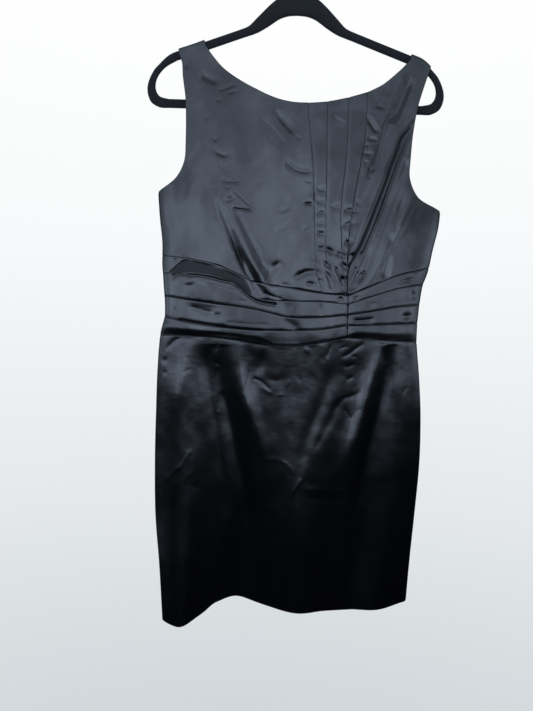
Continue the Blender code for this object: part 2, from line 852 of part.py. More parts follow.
def arc(centre, radius, start, end, count):
    """Points of an arc, with its angles in degrees from +x towards +z."""
    turns = [math.radians(start + (end - start) * i / count) for i in range(count + 1)]
    return [(centre[0] + radius * math.cos(t), centre[1] + radius * math.sin(t)) for t in turns]


def make_pull_tab(collection):
    """A drop-shaped tab whose top bar lies under the slider's bridge and turns there."""
    edge = [
        (TAB_HALF_WIDTH, TAB_BAR), (-TAB_HALF_WIDTH, TAB_BAR), (-TAB_HALF_WIDTH, -TAB_EYE_END),
        *arc((0, TAB_TIP_RADIUS - TAB_LENGTH), TAB_TIP_RADIUS, 180, 360, 12),
        (TAB_HALF_WIDTH, -TAB_EYE_END),
    ]
    eye = [
        (-TAB_EYE_HALF_WIDTH, -TAB_BAR), (TAB_EYE_HALF_WIDTH, -TAB_BAR),
        (TAB_EYE_HALF_WIDTH, -TAB_EYE_END), (-TAB_EYE_HALF_WIDTH, -TAB_EYE_END),
    ]
    plate = flat_curve("zip_pull_tab", [edge, eye], TAB_THICKNESS)
    tab = keep("zip_pull_tab", plate, "zip_metal", collection)
    tab.rotation_euler.x = math.pi / 2
    tab.location = Vector((CENTRE_BACK_X, slider_face_y() + TAB_AXIS_HEIGHT, SLIDER_Z)) * MM


# Hanger


def mirrored(half):
    """A closed outline from its right half, whose first and last points lie on the middle plane."""
    return half + [(-x, z) for x, z in half[1:-1][::-1]]


def make_hanger_body(collection):
    arm = [(x, arm_top(x)) for x in across(ARM_START_X, ARM_END_X)]
    crown = smooth_path([*HANGER_CROWN, arm[0]], HANGER_STEP)
    end = smooth_path([arm[-1], *HANGER_END], HANGER_STEP)
    outer = [*crown, *arm[1:], *end[1:], (0, BAR_BOTTOM)]
    peak = smooth_path(HANGER_PEAK, HANGER_STEP)
    loop = smooth_path(HANGER_LOOP, HANGER_STEP)
    inner = [*peak, *loop, (0, BAR_TOP)]
    plate = flat_curve("hanger_body", [mirrored(outer), mirrored(inner)], HANGER_THICKNESS, HANGER_EDGE)
    body = keep("hanger_body", plate, "flock", collection)
    body.rotation_euler.x = math.pi / 2


def make_hanger_hook(collection):
    bow = arc((0, -HOOK_INNER_RADIUS), HOOK_INNER_RADIUS + HOOK_WIRE_RADIUS, *HOOK_BOW, 26)
    route = smooth_path([*HOOK_STEM, bow[0]], HOOK_WIRE_RADIUS * 2)[:-1] + bow
    hook = wire("hanger_hook", [(x, 0, z) for x, z in route], HOOK_WIRE_RADIUS)
    keep("hanger_hook", hook, "chrome", collection)


def main():
    clear_scene()
    dress = bpy.data.collections.new("cocktail_dress")
    cutters = bpy.data.collections.new("cutters")
    for collection in (dress, cutters):
        bpy.context.scene.collection.children.link(collection)
    make_bodice_front(dress)
    make_skirt_front(dress)
    make_zip_tape(dress)
    for half in ("right", "left"):
        make_midriff(dress, half)
        make_bodice_back(dress, half)
        make_skirt_back(dress, half)
    make_slider(dress, cutters)
    make_pull_tab(dress)
    make_hanger_body(dress)
    make_hanger_hook(dress)


main()
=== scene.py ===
"""Looks of a sleeveless cocktail dress on a slim flocked hanger.

Tables are in millimetres, and meshes in metres. The form, the edges of the cut and the midriff's
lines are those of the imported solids. The pleats' lines have more points than the solids' and lie a
few millimetres from them, closer to the photo.

Each cloth piece is a thin shell. Its flat cut, in x and z, is meshed finely, with rows of points
along its edges, pleats and creases, and is laid on the form of the hanging dress. Each crease is
a soft trough, or a ridge where its depth is minus, and both sides of the shell follow it.
"""

import math
from collections import namedtuple

import bmesh
import bpy
import numpy as np
from mathutils import Matrix, Vector, noise
from mathutils.geometry import delaunay_2d_cdt


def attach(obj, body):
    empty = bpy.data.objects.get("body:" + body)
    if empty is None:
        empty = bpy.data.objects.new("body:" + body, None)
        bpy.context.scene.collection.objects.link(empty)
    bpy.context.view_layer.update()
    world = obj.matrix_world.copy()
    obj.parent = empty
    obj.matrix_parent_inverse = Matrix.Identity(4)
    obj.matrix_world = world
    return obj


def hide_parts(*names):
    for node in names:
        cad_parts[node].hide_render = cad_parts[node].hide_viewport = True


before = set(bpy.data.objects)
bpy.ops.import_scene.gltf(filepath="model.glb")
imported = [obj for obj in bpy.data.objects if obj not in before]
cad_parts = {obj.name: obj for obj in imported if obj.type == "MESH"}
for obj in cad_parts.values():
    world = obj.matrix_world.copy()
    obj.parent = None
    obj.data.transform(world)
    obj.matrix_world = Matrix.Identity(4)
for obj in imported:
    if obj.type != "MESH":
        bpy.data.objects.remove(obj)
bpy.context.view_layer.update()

MM = 0.001
# The solids' cloth, and the thinner wall of the shells.
CLOTH = 2.0
WALL = 1.4
GAP = 0.3
HALF_GAP = GAP / 2
FRONT = -1
BACK = 1

HANGER_THICKNESS = 5.5
BAR_TOP = -228.0
BAR_BOTTOM = -241.0
STRAP_CLEARANCE = 0.8
STRAP_RADIUS = HANGER_THICKNESS / 2 + STRAP_CLEARANCE + CLOTH
STRAP_INNER_X = 140.0

ARM_START_X = 90.0
ARM_START_Z = -121.2
ARM_SLOPE = 0.375
ARM_BEND_X = 185.0
ARM_BEND = 0.02
ARM_END_X = 204.0

HOOK_WIRE_RADIUS = 1.75
HOOK_INNER_RADIUS = 18.0
CROWN_TOP = -62.0

CENTRE_BACK_X = 4.0
CENTRE_FRONT_SEAM_X = 85.0
BACK_WAIST_Z = -587.0
LEFT_UNDERARM_Z = -371.0
RIGHT_UNDERARM_Z = -389.0

FRONT_FILL = 110.0
BACK_FILL = 62.0
SIDE_ROUNDNESS = 2.6
SIDE_SWING_POWER = 6
SIDE_INSET_POWER = 8
FOLD_EDGE_FADE = 8
FIRST_PLEAT_WIDTH = 26.0

Section = namedtuple("Section", "z left right left_y right_y front back")
Fold = namedtuple("Fold", "x z depth width")
Knot = namedtuple("Knot", "u shift share")
Crease = namedtuple("Crease", "points width depth skew peak", defaults=(0.0, None))


def sections(rows):
    return [Section(*row) for row in rows]


def folds(table):
    return {name: [Fold(*row) for row in stations] for name, stations in table.items()}


def knots(rows):
    return [Knot(*row) for row in rows]


def creases(rows):
    """Creases from rows of width, depth and, where given, skew and peak, and then the points."""
    return [Crease(points, *measures) for measures, *points in rows]


# Sections of the hanging form. left and right are its side edges, left_y and right_y how far back
# those edges lie, and front and back the depth of each face from them at the middle.
SECTIONS = sections((
    (-130, -206, 224, 0, 0, 13, 12), (-250, -206, 224, 0, 0, 19, 12),
    (-330, -206, 223, 0, 0, 25, 12), (-372, -204.5, 225, 0, 0, 27, 12),
    (-410, -201, 223, 0, 0, 28, 12), (-445, -196.5, 215.5, 0, 0, 28, 12),
    (-480, -195.5, 208.5, 0, 0, 27.5, 12), (-505, -193, 200.5, 0, 0, 27, 12),
    (-555, -189.5, 195, 0, 0, 26.5, 11), (-585, -195.5, 194.5, 0, 0, 26, 11),
    (-640, -198.5, 200, 0, 0, 20, 12), (-700, -198.5, 204, -2, 0, 17.5, 13),
    (-770, -197, 204, -8, 0, 16.5, 14), (-850, -191.5, 198.5, -20, 0, 15, 14),
    (-920, -180.5, 193, -36, 0, 13, 14), (-1000, -170.5, 188, -50, 0, 12, 14),
))

# Soft folds that both sides of the wall follow, each from top to bottom, as x, z, depth and width.
# A plus depth stands out from the face and a minus depth sinks into it.
FRONT_FOLDS = folds({
    "dart_hollow": (
        (-113, -384, 0, 6), (-96, -420, -2.5, 6), (-74, -466, -5, 7), (-52, -510, -4, 7),
        (-45, -530, 0, 8),
    ),
    "dart_ridge": (
        (-98, -390, 0, 8), (-78, -430, 2.5, 9), (-58, -475, 5, 9), (-38, -510, 3.5, 10),
        (-30, -532, 0, 10),
    ),
    "drape_ridge": (
        (160, -262, 0, 8), (136, -330, 2.5, 11), (114, -390, 3.5, 11), (92, -450, 3, 9),
        (78, -500, 1, 7), (74, -520, 0, 7),
    ),
    "drape_hollow": (
        (178, -262, 0, 7), (157, -320, -4, 7), (137, -380, -6, 8), (115, -440, -5, 7),
        (98, -490, -2.5, 6), (90, -522, 0, 6),
    ),
    "second_drape": ((190, -330, 0, 9), (170, -390, 3, 10), (142, -450, 3, 8), (112, -505, 0, 6)),
    "gaping_pocket": (
        (-152, -484, 0, 34), (-148, -500, 4, 36), (-140, -520, 2.5, 38), (-130, -545, 0, 40),
    ),
    "left_roll": (
        (-152, -592, 0, 26), (-150, -700, 6, 25), (-148, -850, 14, 22), (-146, -1004, 22, 19),
    ),
    "left_hollow": (
        (-106, -600, -1.5, 12), (-91, -680, -6, 14), (-66, -790, -9, 15), (-58, -860, -10, 17),
        (-74, -1004, -12, 20),
    ),
    "centre_lobe": ((20, -592, 0, 80), (18, -700, 6, 66), (18, -850, 17, 50), (24, -1004, 30, 42)),
    "right_ridge": (
        (141, -590, 1.5, 9), (121, -655, 4, 10), (104, -740, 5, 12), (90, -850, 4, 15),
        (80, -1004, 6, 24),
    ),
    "right_hollow": (
        (152, -592, -1, 9), (146, -660, -4, 12), (132, -760, -6, 15), (122, -870, -4, 18),
        (112, -960, 0, 20),
    ),
    "right_lobe": (
        (172, -600, 0, 16), (170, -700, 3, 20), (160, -850, 8, 26), (138, -1004, 16, 36),
    ),
})
BACK_FOLDS = folds({
    "right_shoulder_blade": (
        (-96, -300, 0, 26), (-92, -420, 2, 26), (-88, -540, -1.5, 20), (-92, -660, 1.5, 26),
    ),
    "left_waist_hollow": (
        (112, -480, 0, 18), (108, -560, -2.5, 20), (118, -640, -1.5, 24), (128, -760, 0, 26),
    ),
    "left_hem_hollow": ((96, -700, 0, 22), (92, -850, -4, 24), (86, -1004, -7, 26)),
    "right_hem_hollow": ((-48, -720, 0, 20), (-56, -850, -3, 24), (-62, -1004, -6, 28)),
})

# Right half of the hanger's outer edge, on both sides of its straight arm, and of its inner edge.
HANGER_CROWN = ((0, CROWN_TOP), (21, -65.5), (38, -77), (60, -99.5), (74, -114))
HANGER_END = ((217, -187), (225, -211), (220, -231.5), (206, -240.4), (190, BAR_BOTTOM))
HANGER_PEAK = ((0, -95.5), (14, -96.8), (27, -101.5), (45, -114), (61, -123.5), (85, -132.5))
HANGER_LOOP = ((182, -169), (199, -180), (210.5, -196), (212.5, -212), (206, -224), (192, BAR_TOP))

# The hook's stem above the crown, and the angles of its bow from +x towards +z.
HOOK_STEM = ((0, CROWN_TOP + GAP), (0, -54), (2.5, -46.5), (9, -38), (16.2, -29.3))
HOOK_BOW = (-22, 205)

# Edges of the cut, in x and z.
NECKLINE = (
    (-139, -146), (-125, -165), (-106, -185.5), (-70, -209.5), (-21, -231.5), (25, -236),
    (74, -227), (121, -208), (156, -178), (172, -160),
)
BACK_NECKLINE = (
    (-139, -146), (-127, -166), (-106, -188), (-66, -209), (-20, -220), (25, -224), (74, -216),
    (120, -199), (155, -178), (172, -160),
)
LEFT_ARMHOLE = (
    (-177, -353), (-164, -328), (-162.5, -300), (-165, -235), (-171, -195), (-173, -174),
    (-178, -160),
)
RIGHT_ARMHOLE = (
    (185.5, -372), (173, -346), (173, -320), (177, -275), (183, -238), (194, -200), (202, -175),
)
HEM = (
    (-171.5, -993), (-160, -998.5), (-140, -1000), (-117, -993), (-97, -980), (-60, -976.5),
    (-20, -982), (40, -984), (95, -986), (150, -983), (188, -979),
)
LEFT_STRAP_X = (-179.0, -140.0)
RIGHT_STRAP_X = (174.0, 203.5)

# Knife pleats of the bodice, from neckline to midriff, and a drape fold. Each one's left side lies
# over its right.
PLEATS = (
    (
        (16.5, -235.5), (20.5, -277), (24.5, -315), (27.5, -353), (29.5, -397.5), (32, -456.5),
        (35.5, -488.5), (47, -522),
    ),
    (
        (45.5, -236.5), (46, -284), (46.5, -329.5), (46.5, -375), (47.5, -434), (50, -468),
        (60.5, -491), (78.5, -520.5),
    ),
    (
        (77.5, -227.5), (77, -275.5), (75.5, -306), (73, -339.5), (69.5, -382), (69.5, -418.5),
        (74, -470), (81, -520.5),
    ),
    (
        (105.5, -216), (104, -256.5), (101.5, -293), (96.5, -328.5), (90, -366), (85, -403.5),
        (81, -455), (82.5, -520.5),
    ),
    (
        (170, -267), (159, -282.5), (153, -298), (148, -313), (142, -330), (136.5, -348.5),
        (130, -366.5), (123, -385.5), (111.5, -417.5), (97.5, -451.5), (86, -475.5), (82, -495),
        (83, -520.5),
    ),
)
PLEAT_HEIGHTS = (1.0, 1.2, 1.2, 1.4, 4.2)
PLEAT_FADES = (0.35, 0.45, 0.65, 0.6, 0.0)
PLEAT_FADE_SPAN = (-380.0, 50.0)
PLEAT_PLATEAUS = (0.0, 0.75, 0.75, 0.75, 0.5)
PLEAT_SHIFT_REACH = 8.0
FULL_PLEAT_WIDTH = 12.0
LEAST_PLEAT_SCALE = 0.3
LEAST_TOP = 0.4
LAST_PLEAT_FADE = (-235.0, 60.0)
MOST_LEAN = 1.5
RISE_POWER = 1.5
DIVE_WIDTH = 3.2
DIVE_SHARE = 0.8

# A knife pleat's cross-section at its fold: distance from the fold line, sideways shift, and share
# of the pleat's height.
PLEAT_PROFILE = knots((
    (-2.6, 1.1, 0.94), (-1.4, 1.5, 1.0), (-0.6, 1.7, 0.86), (0.0, 1.6, 0.5), (0.5, 0.5, 0.2),
    (1.0, -1.0, -0.05), (2.2, -0.5, -0.16), (4.5, 0.0, 0.0),
))
DRAPE_PROFILE = knots((
    (-9.0, 0.0, 1.0), (-6.0, 0.0, 0.97), (-4.0, 0.0, 0.88), (-2.4, 0.0, 0.7), (-1.2, 0.1, 0.42),
    (-0.2, 0.3, 0.02), (0.5, 0.3, -0.45), (1.1, -0.1, -0.75), (1.7, -0.3, -0.7), (2.6, -0.1, -0.4),
    (3.8, 0.0, -0.1), (5.2, 0.0, 0.1), (8.0, 0.0, 0.0),
))
PLEAT_FOOT = PLEAT_PROFILE[5].u

# Midriff: heights of its seams and of its three folded edges, at stations across each half.
MIDRIFF_STATIONS = {
    "right": (-190, -150, -110, -80, -50, 0, 45, 85),
    "left": (85, 120, 160, 200),
}
MIDRIFF_LINES = {
    "top_seam": {
        "right": (-467, -473, -481.5, -494, -506, -513, -519.5, -521.5),
        "left": (-521.5, -506, -488.5, -477),
    },
    "first_fold": {
        "right": (-495, -494.5, -500, -511, -530, -534, -533.5, -536),
        "left": (-536, -523.5, -510, -501.5),
    },
    "second_fold": {
        "right": (-529, -536, -541, -544, -548.5, -558, -557, -552.5),
        "left": (-552.5, -546, -537.5, -532),
    },
    "third_fold": {
        "right": (-559.5, -569, -574, -576.5, -578, -577.5, -575, -568),
        "left": (-568, -566, -563, -560),
    },
    "skirt_seam": {
        "right": (-587, -588, -589, -592, -597, -599.5, -593, -584),
        "left": (-584, -585.5, -587, -587),
    },
}
BAND_EDGES = ("first_fold", "second_fold", "third_fold")
BAND_PLATEAU = 1.0
BAND_MARGIN = 8
FLAT_BAND_HEIGHTS = {"first_fold": 1.1, "second_fold": 0.9, "third_fold": 1.3}
LOW_BAND_SHARE = {"right": 1.0, "left": 0.35}
LOW_BAND_HEIGHT = 3.4
LOW_BAND_DIVE = 0.6
LOW_BAND_STEEP = (-50.0, -20.0)
LOW_BAND_STEEP_REACH = 15.0

# The strip above the first fold, which sinks and faces down on the right half, beside a flap.
STRIP_FOOT = (1.4, 2.6)
STRIP_SINK = 4.0
STRIP_CURVE = 0.8
STRIP_END = 0.86
STRIP_SINK_ENDS = (-75.0, -45.0)
STRIP_FLAP = ((-159.0, -474.0), (-181.0, -493.0))
STRIP_FLAP_EASE = 5.0

# Fineness of the cloth's mesh: steps along the edges and between the points inside, and what the
# points keep clear of each other, as shares of a step or in millimetres.
FRONT_STEP = 2.4
BACK_STEP = 4.5
EDGE_STEP = 2.5
HEX_ROW = 0.866
ROW_CLEARANCE = 0.55
LINE_CLEARANCE = 0.3
GRID_CLEARANCE = 0.4
EDGE_ROW_CLEARANCE = 0.85
CENTRE_CLEARANCE = 0.4
WELD = 1e-4
NO_POINTS = np.empty((0, 2))
SEAM_TRIES = 12

# How far in from each kind of edge the extra rows of points lie, and how far an edge rolls in.
EDGE_ROWS = {
    "free": (0.12, 0.4, 0.8, 1.5, 2.5),
    "seam": (0.35, 0.8, 1.4, 2.2, 3.2),
    "tucked": (0.35, 0.8, 1.4, 2.2, 3.2),
    "side": (0.05, 0.2, 0.5, 1.0, 1.7, 2.6, 3.8, 5.4, 7.5, 10.0),
}
FREE_ROLL = 0.65
SEAM_VALLEY_WIDTH = 2.0
SEAM_VALLEY_DEPTH = 0.62
STRAP_ROW_STEP = 0.8
STRAP_ROW_START = -4
STRAP_ROW_MARGIN = 1.5
STRAP_INSET_REACH = 40.0
NECK_STEP = 0.7
NECK_STEP_REACH = 3.0

# Creases, as strokes over the cloth: width, depth, skew and peak, and then points in x and z.
BODICE_CREASES = creases((
    ((4.5, 1.6), (-166.5, -148.5), (-164, -166.5), (-166.5, -186)),
    ((6.5, 2.4), (-145, -188.5), (-131.5, -199), (-114.5, -206.5)),
    ((2.8, 0.7), (-117, -219), (-103.5, -214.5), (-89, -208)),
    ((2.6, 0.8), (-103.5, -224), (-87, -219)),
    ((2, 0.7), (-121, -236), (-109, -233)),
    ((5, 0.9), (-136, -263), (-127.5, -259.5)),
    ((2.8, 1.3), (-123, -290.5), (-114, -299.5)),
    ((5.2, 2.4), (-121, -308), (-110.5, -316), (-95.5, -321)),
    ((6.5, 1.2), (-110, -326.5), (-102, -338.5), (-98.5, -353.5)),
    ((4.2, 1.8), (-107.5, -355), (-94, -358), (-78, -356)),
    ((2.6, 1), (-102.5, -367), (-92, -367.5)),
    ((2, 1.3), (-90.5, -371), (-81.5, -377), (-72.5, -385.5), (-62, -396)),
    ((4.6, 2.1), (-102.5, -389), (-94.5, -385), (-84.5, -381)),
    ((1.7, 1.6), (-89.5, -398), (-75, -400), (-59, -401)),
    ((1.9, 0.8), (-119, -363), (-110.5, -391), (-102.5, -410), (-91.5, -433.5)),
    ((3, 5.4, -0.3, 0.45), (-91, -430.5), (-85.5, -448), (-78, -465.5), (-71, -482), (-65, -496),
     (-60, -509)),
    ((3.8, -0.55), (-79.5, -448), (-68.5, -468), (-59.5, -485.5), (-53, -497)),
    ((9, 2.5, -0.35), (-85.5, -395), (-73, -419.5), (-63.5, -438.5), (-54, -456), (-42, -476)),
    ((14, 1.7), (-50.5, -476.5), (-37.5, -482), (-22.5, -481.5), (-9.5, -475.5)),
    ((6.5, 1.6), (-17, -472.5), (-28.5, -489), (-34.5, -499.5), (-41.5, -510)),
    ((4, 1), (-19, -509.5), (-7.5, -508.5), (4.5, -510)),
    ((5, 1.8), (-14, -325.5), (-3.5, -334), (8.5, -340), (28, -341)),
    ((2.6, 0.9), (15, -356), (28, -356.5)),
    ((5.5, 1.4), (-22, -405), (-10.5, -397.5), (2.5, -390.5)),
    ((4.5, 1.1), (-25.5, -430), (-14, -427), (-1, -414.5)),
    ((3, 0.9), (15.5, -426), (25.5, -424.5)),
    ((2.4, 2.2), (14.5, -387.5), (21.5, -389), (29.5, -389)),
    ((2, 1.8), (29.5, -368), (30, -386)),
    ((8.5, 3), (-32.5, -249.5), (-20.5, -260), (-11, -270.5), (0, -287)),
    ((9.5, 1.5), (-51.5, -262), (-34.5, -278.5), (-20.5, -295), (-7, -308.5)),
    ((4.5, 1.2), (-0.5, -284), (9, -296)),
    ((4, 0.8), (14, -257.5), (24.5, -264.5)),
    ((4, 0.8), (55.5, -254.5), (64.5, -263.5), (76.5, -266.5)),
    ((4.2, 1.9), (32, -367), (39, -367.5), (50, -369.5)),
    ((4, 1.6), (32, -384.5), (39, -385.5), (48, -387.5)),
    ((3.6, 1.8), (32.5, -403), (39.5, -402), (48.5, -400)),
    ((4.4, 1.3), (33.5, -417.5), (40, -417.5), (49, -417)),
    ((4, 1.9), (32.5, -432), (40.5, -432), (49.5, -432.5)),
    ((4.8, 1.4), (33, -454), (41, -454), (51.5, -454.5)),
    ((4.4, 2.1), (48.5, -452.5), (55, -456.5), (63, -461.5)),
    ((4.2, 1.5), (55, -394.5), (63, -393), (71.5, -392)),
    ((4.6, 2.2), (72, -398.5), (83.5, -397), (98.5, -400)),
    ((5, 2.1), (70.5, -422.5), (82.5, -417), (96.5, -416.5)),
    ((4.8, 2.6), (74, -446.5), (83.5, -444.5), (92, -445.5)),
    ((4.6, 1.6), (61.5, -458.5), (76.5, -464), (94, -463.5)),
    ((4.2, 2.7), (70, -472.5), (77.5, -478.5), (86, -486)),
    ((3.8, 2), (69.5, -498), (77.5, -498.5), (85, -500.5)),
    ((3.9, 1.32), (93.5, -381), (96.5, -393)),
    ((4, 4.2), (106, -252.5), (113.5, -265.5), (124, -280.5)),
    ((5.6, 2.3), (101.5, -287), (114, -288.5), (126.5, -291)),
    ((2.86, 2.2), (102, -298.5), (109.5, -299)),
    ((4.2, 1.9), (97, -311), (107, -311.5), (118, -312)),
    ((2.86, 1.54), (99.5, -325), (110, -325)),
    ((2.21, 2.42), (113, -329.5), (110.5, -341.5), (108.5, -350.5)),
    ((5.85, 1.43), (114.5, -236), (126.5, -237), (137, -241.5)),
    ((10, 4.6, -0.3), (175, -182.5), (165, -211), (155, -236.5), (143, -264.5)),
    ((4.2, 2.2), (143, -247.5), (134.5, -264.5), (128, -288), (121.5, -314), (113.5, -341.5)),
    ((4, -1.8), (160, -299), (152.5, -316), (145.5, -334.5), (138.5, -356), (131.5, -378.5),
     (123.5, -404), (112.5, -432), (100, -460.5)),
    ((6.4, 3.2), (170.5, -314), (160.5, -341.5), (152, -364.5), (143.5, -388.5), (135.5, -411),
     (127, -436), (117.5, -460), (109.5, -483.5), (99.5, -504.5)),
    ((7.5, 2), (150.5, -426.5), (143.5, -453.5), (140, -480), (137.5, -500.5)),
    ((6, 1), (162.5, -373), (155.5, -406), (150.5, -438.5)),
    ((1.1, 1.3), (83.5, -511), (88.5, -497.5), (96, -479.5)),
    ((1.1, 1.4), (85.5, -514), (92, -500.5), (99, -485.5)),
    ((1.1, 1.3), (88, -513.5), (96, -500.5), (103.5, -487)),
    ((1.7, 1.6), (91.5, -513.5), (101, -500), (109.5, -483.5)),
    ((6.2, 3, 0, 0.25), (0, -509), (7, -499), (15.5, -492), (27.5, -488), (37.5, -489.5),
     (46.5, -496), (52.5, -506)),
    ((6.5, 1.2), (17, -477.5), (30, -475), (43, -477)),
    ((3.8, 1.5), (19, -505.5), (28, -506), (36.5, -508)),
    ((3.4, 1.2), (36.5, -499.5), (44, -501), (49.5, -503)),
    ((4.2, 1.8), (49, -485.5), (57.5, -501.5), (60.5, -516)),
    ((3.6, 1.7), (45, -472.5), (52, -478.5), (59.5, -486.5)),
    ((2.6, 1.6), (63.5, -479), (71.5, -495), (77.5, -509.5)),
    ((1.7, 0.9), (-91, -460), (-93.5, -470.5)),
    ((1.5, 1.2), (-85, -462.5), (-89, -473), (-93, -483.5)),
    ((3, 0.7), (-162.5, -468), (-157, -462)),
))
MIDRIFF_RIGHT_CREASES = creases((
    ((2, 1.6), (-167, -562.5), (-145, -566.5), (-123, -569.5), (-93.5, -573), (-64, -576),
     (-39, -577.5)),
    ((2, 3.2), (-179, -498), (-166, -496.5), (-155.5, -497), (-147, -499), (-138, -498.5),
     (-127.5, -500), (-114.5, -502.5), (-101, -506), (-89.5, -508), (-80.5, -512.5), (-70, -520.5),
     (-59.5, -529), (-49, -535), (-34.5, -538.5), (-19.5, -540)),
    ((5.5, 0.8), (-158, -509), (-149.5, -513.5), (-138, -507.5)),
    ((1.6, 0.7), (-179, -502), (-170, -501)),
    ((2, 0.35), (-120, -510.5), (-99.5, -514.5), (-79, -520)),
    ((4.8, 0.6), (-151.5, -543), (-123.5, -551), (-110, -551.5)),
    ((2.2, 0.8), (-113, -555), (-100, -555.5)),
    ((3, 0.6), (-175, -544.5), (-167.5, -553)),
    ((5, 1.2), (73.5, -521.5), (74, -533)),
    ((13, 2), (-18.5, -528.5), (-8, -540), (1.5, -554)),
    ((9, 1.3), (-13.5, -557.5), (1.5, -567.5), (19.5, -577)),
    ((5, 0.7), (44.5, -535.5), (46.5, -553)),
    ((3, 0.5), (-78.5, -533), (-49, -536.5)),
    ((3, 0.8), (-40.5, -520), (-29, -525.5), (-11, -529.5)),
    ((3, 0.8), (-177, -475.5), (-169.5, -473)),
    ((3, 0.4), (-93.5, -565.5), (-64.5, -567.5), (-27.5, -568)),
))
MIDRIFF_LEFT_CREASES = creases((
    ((3.2, 1.1), (91, -559), (107, -558), (124.5, -554.5)),
    ((5.5, 1.6), (165.5, -551), (183, -547.5)),
    ((5, 1.4), (182, -511), (185, -525.5)),
    ((4, 0.5), (110.5, -536.5), (140, -528.5), (169, -521.5)),
    ((3, 0.9), (91.5, -527), (100, -522)),
    ((4, 0.6), (155, -500), (187, -492)),
))
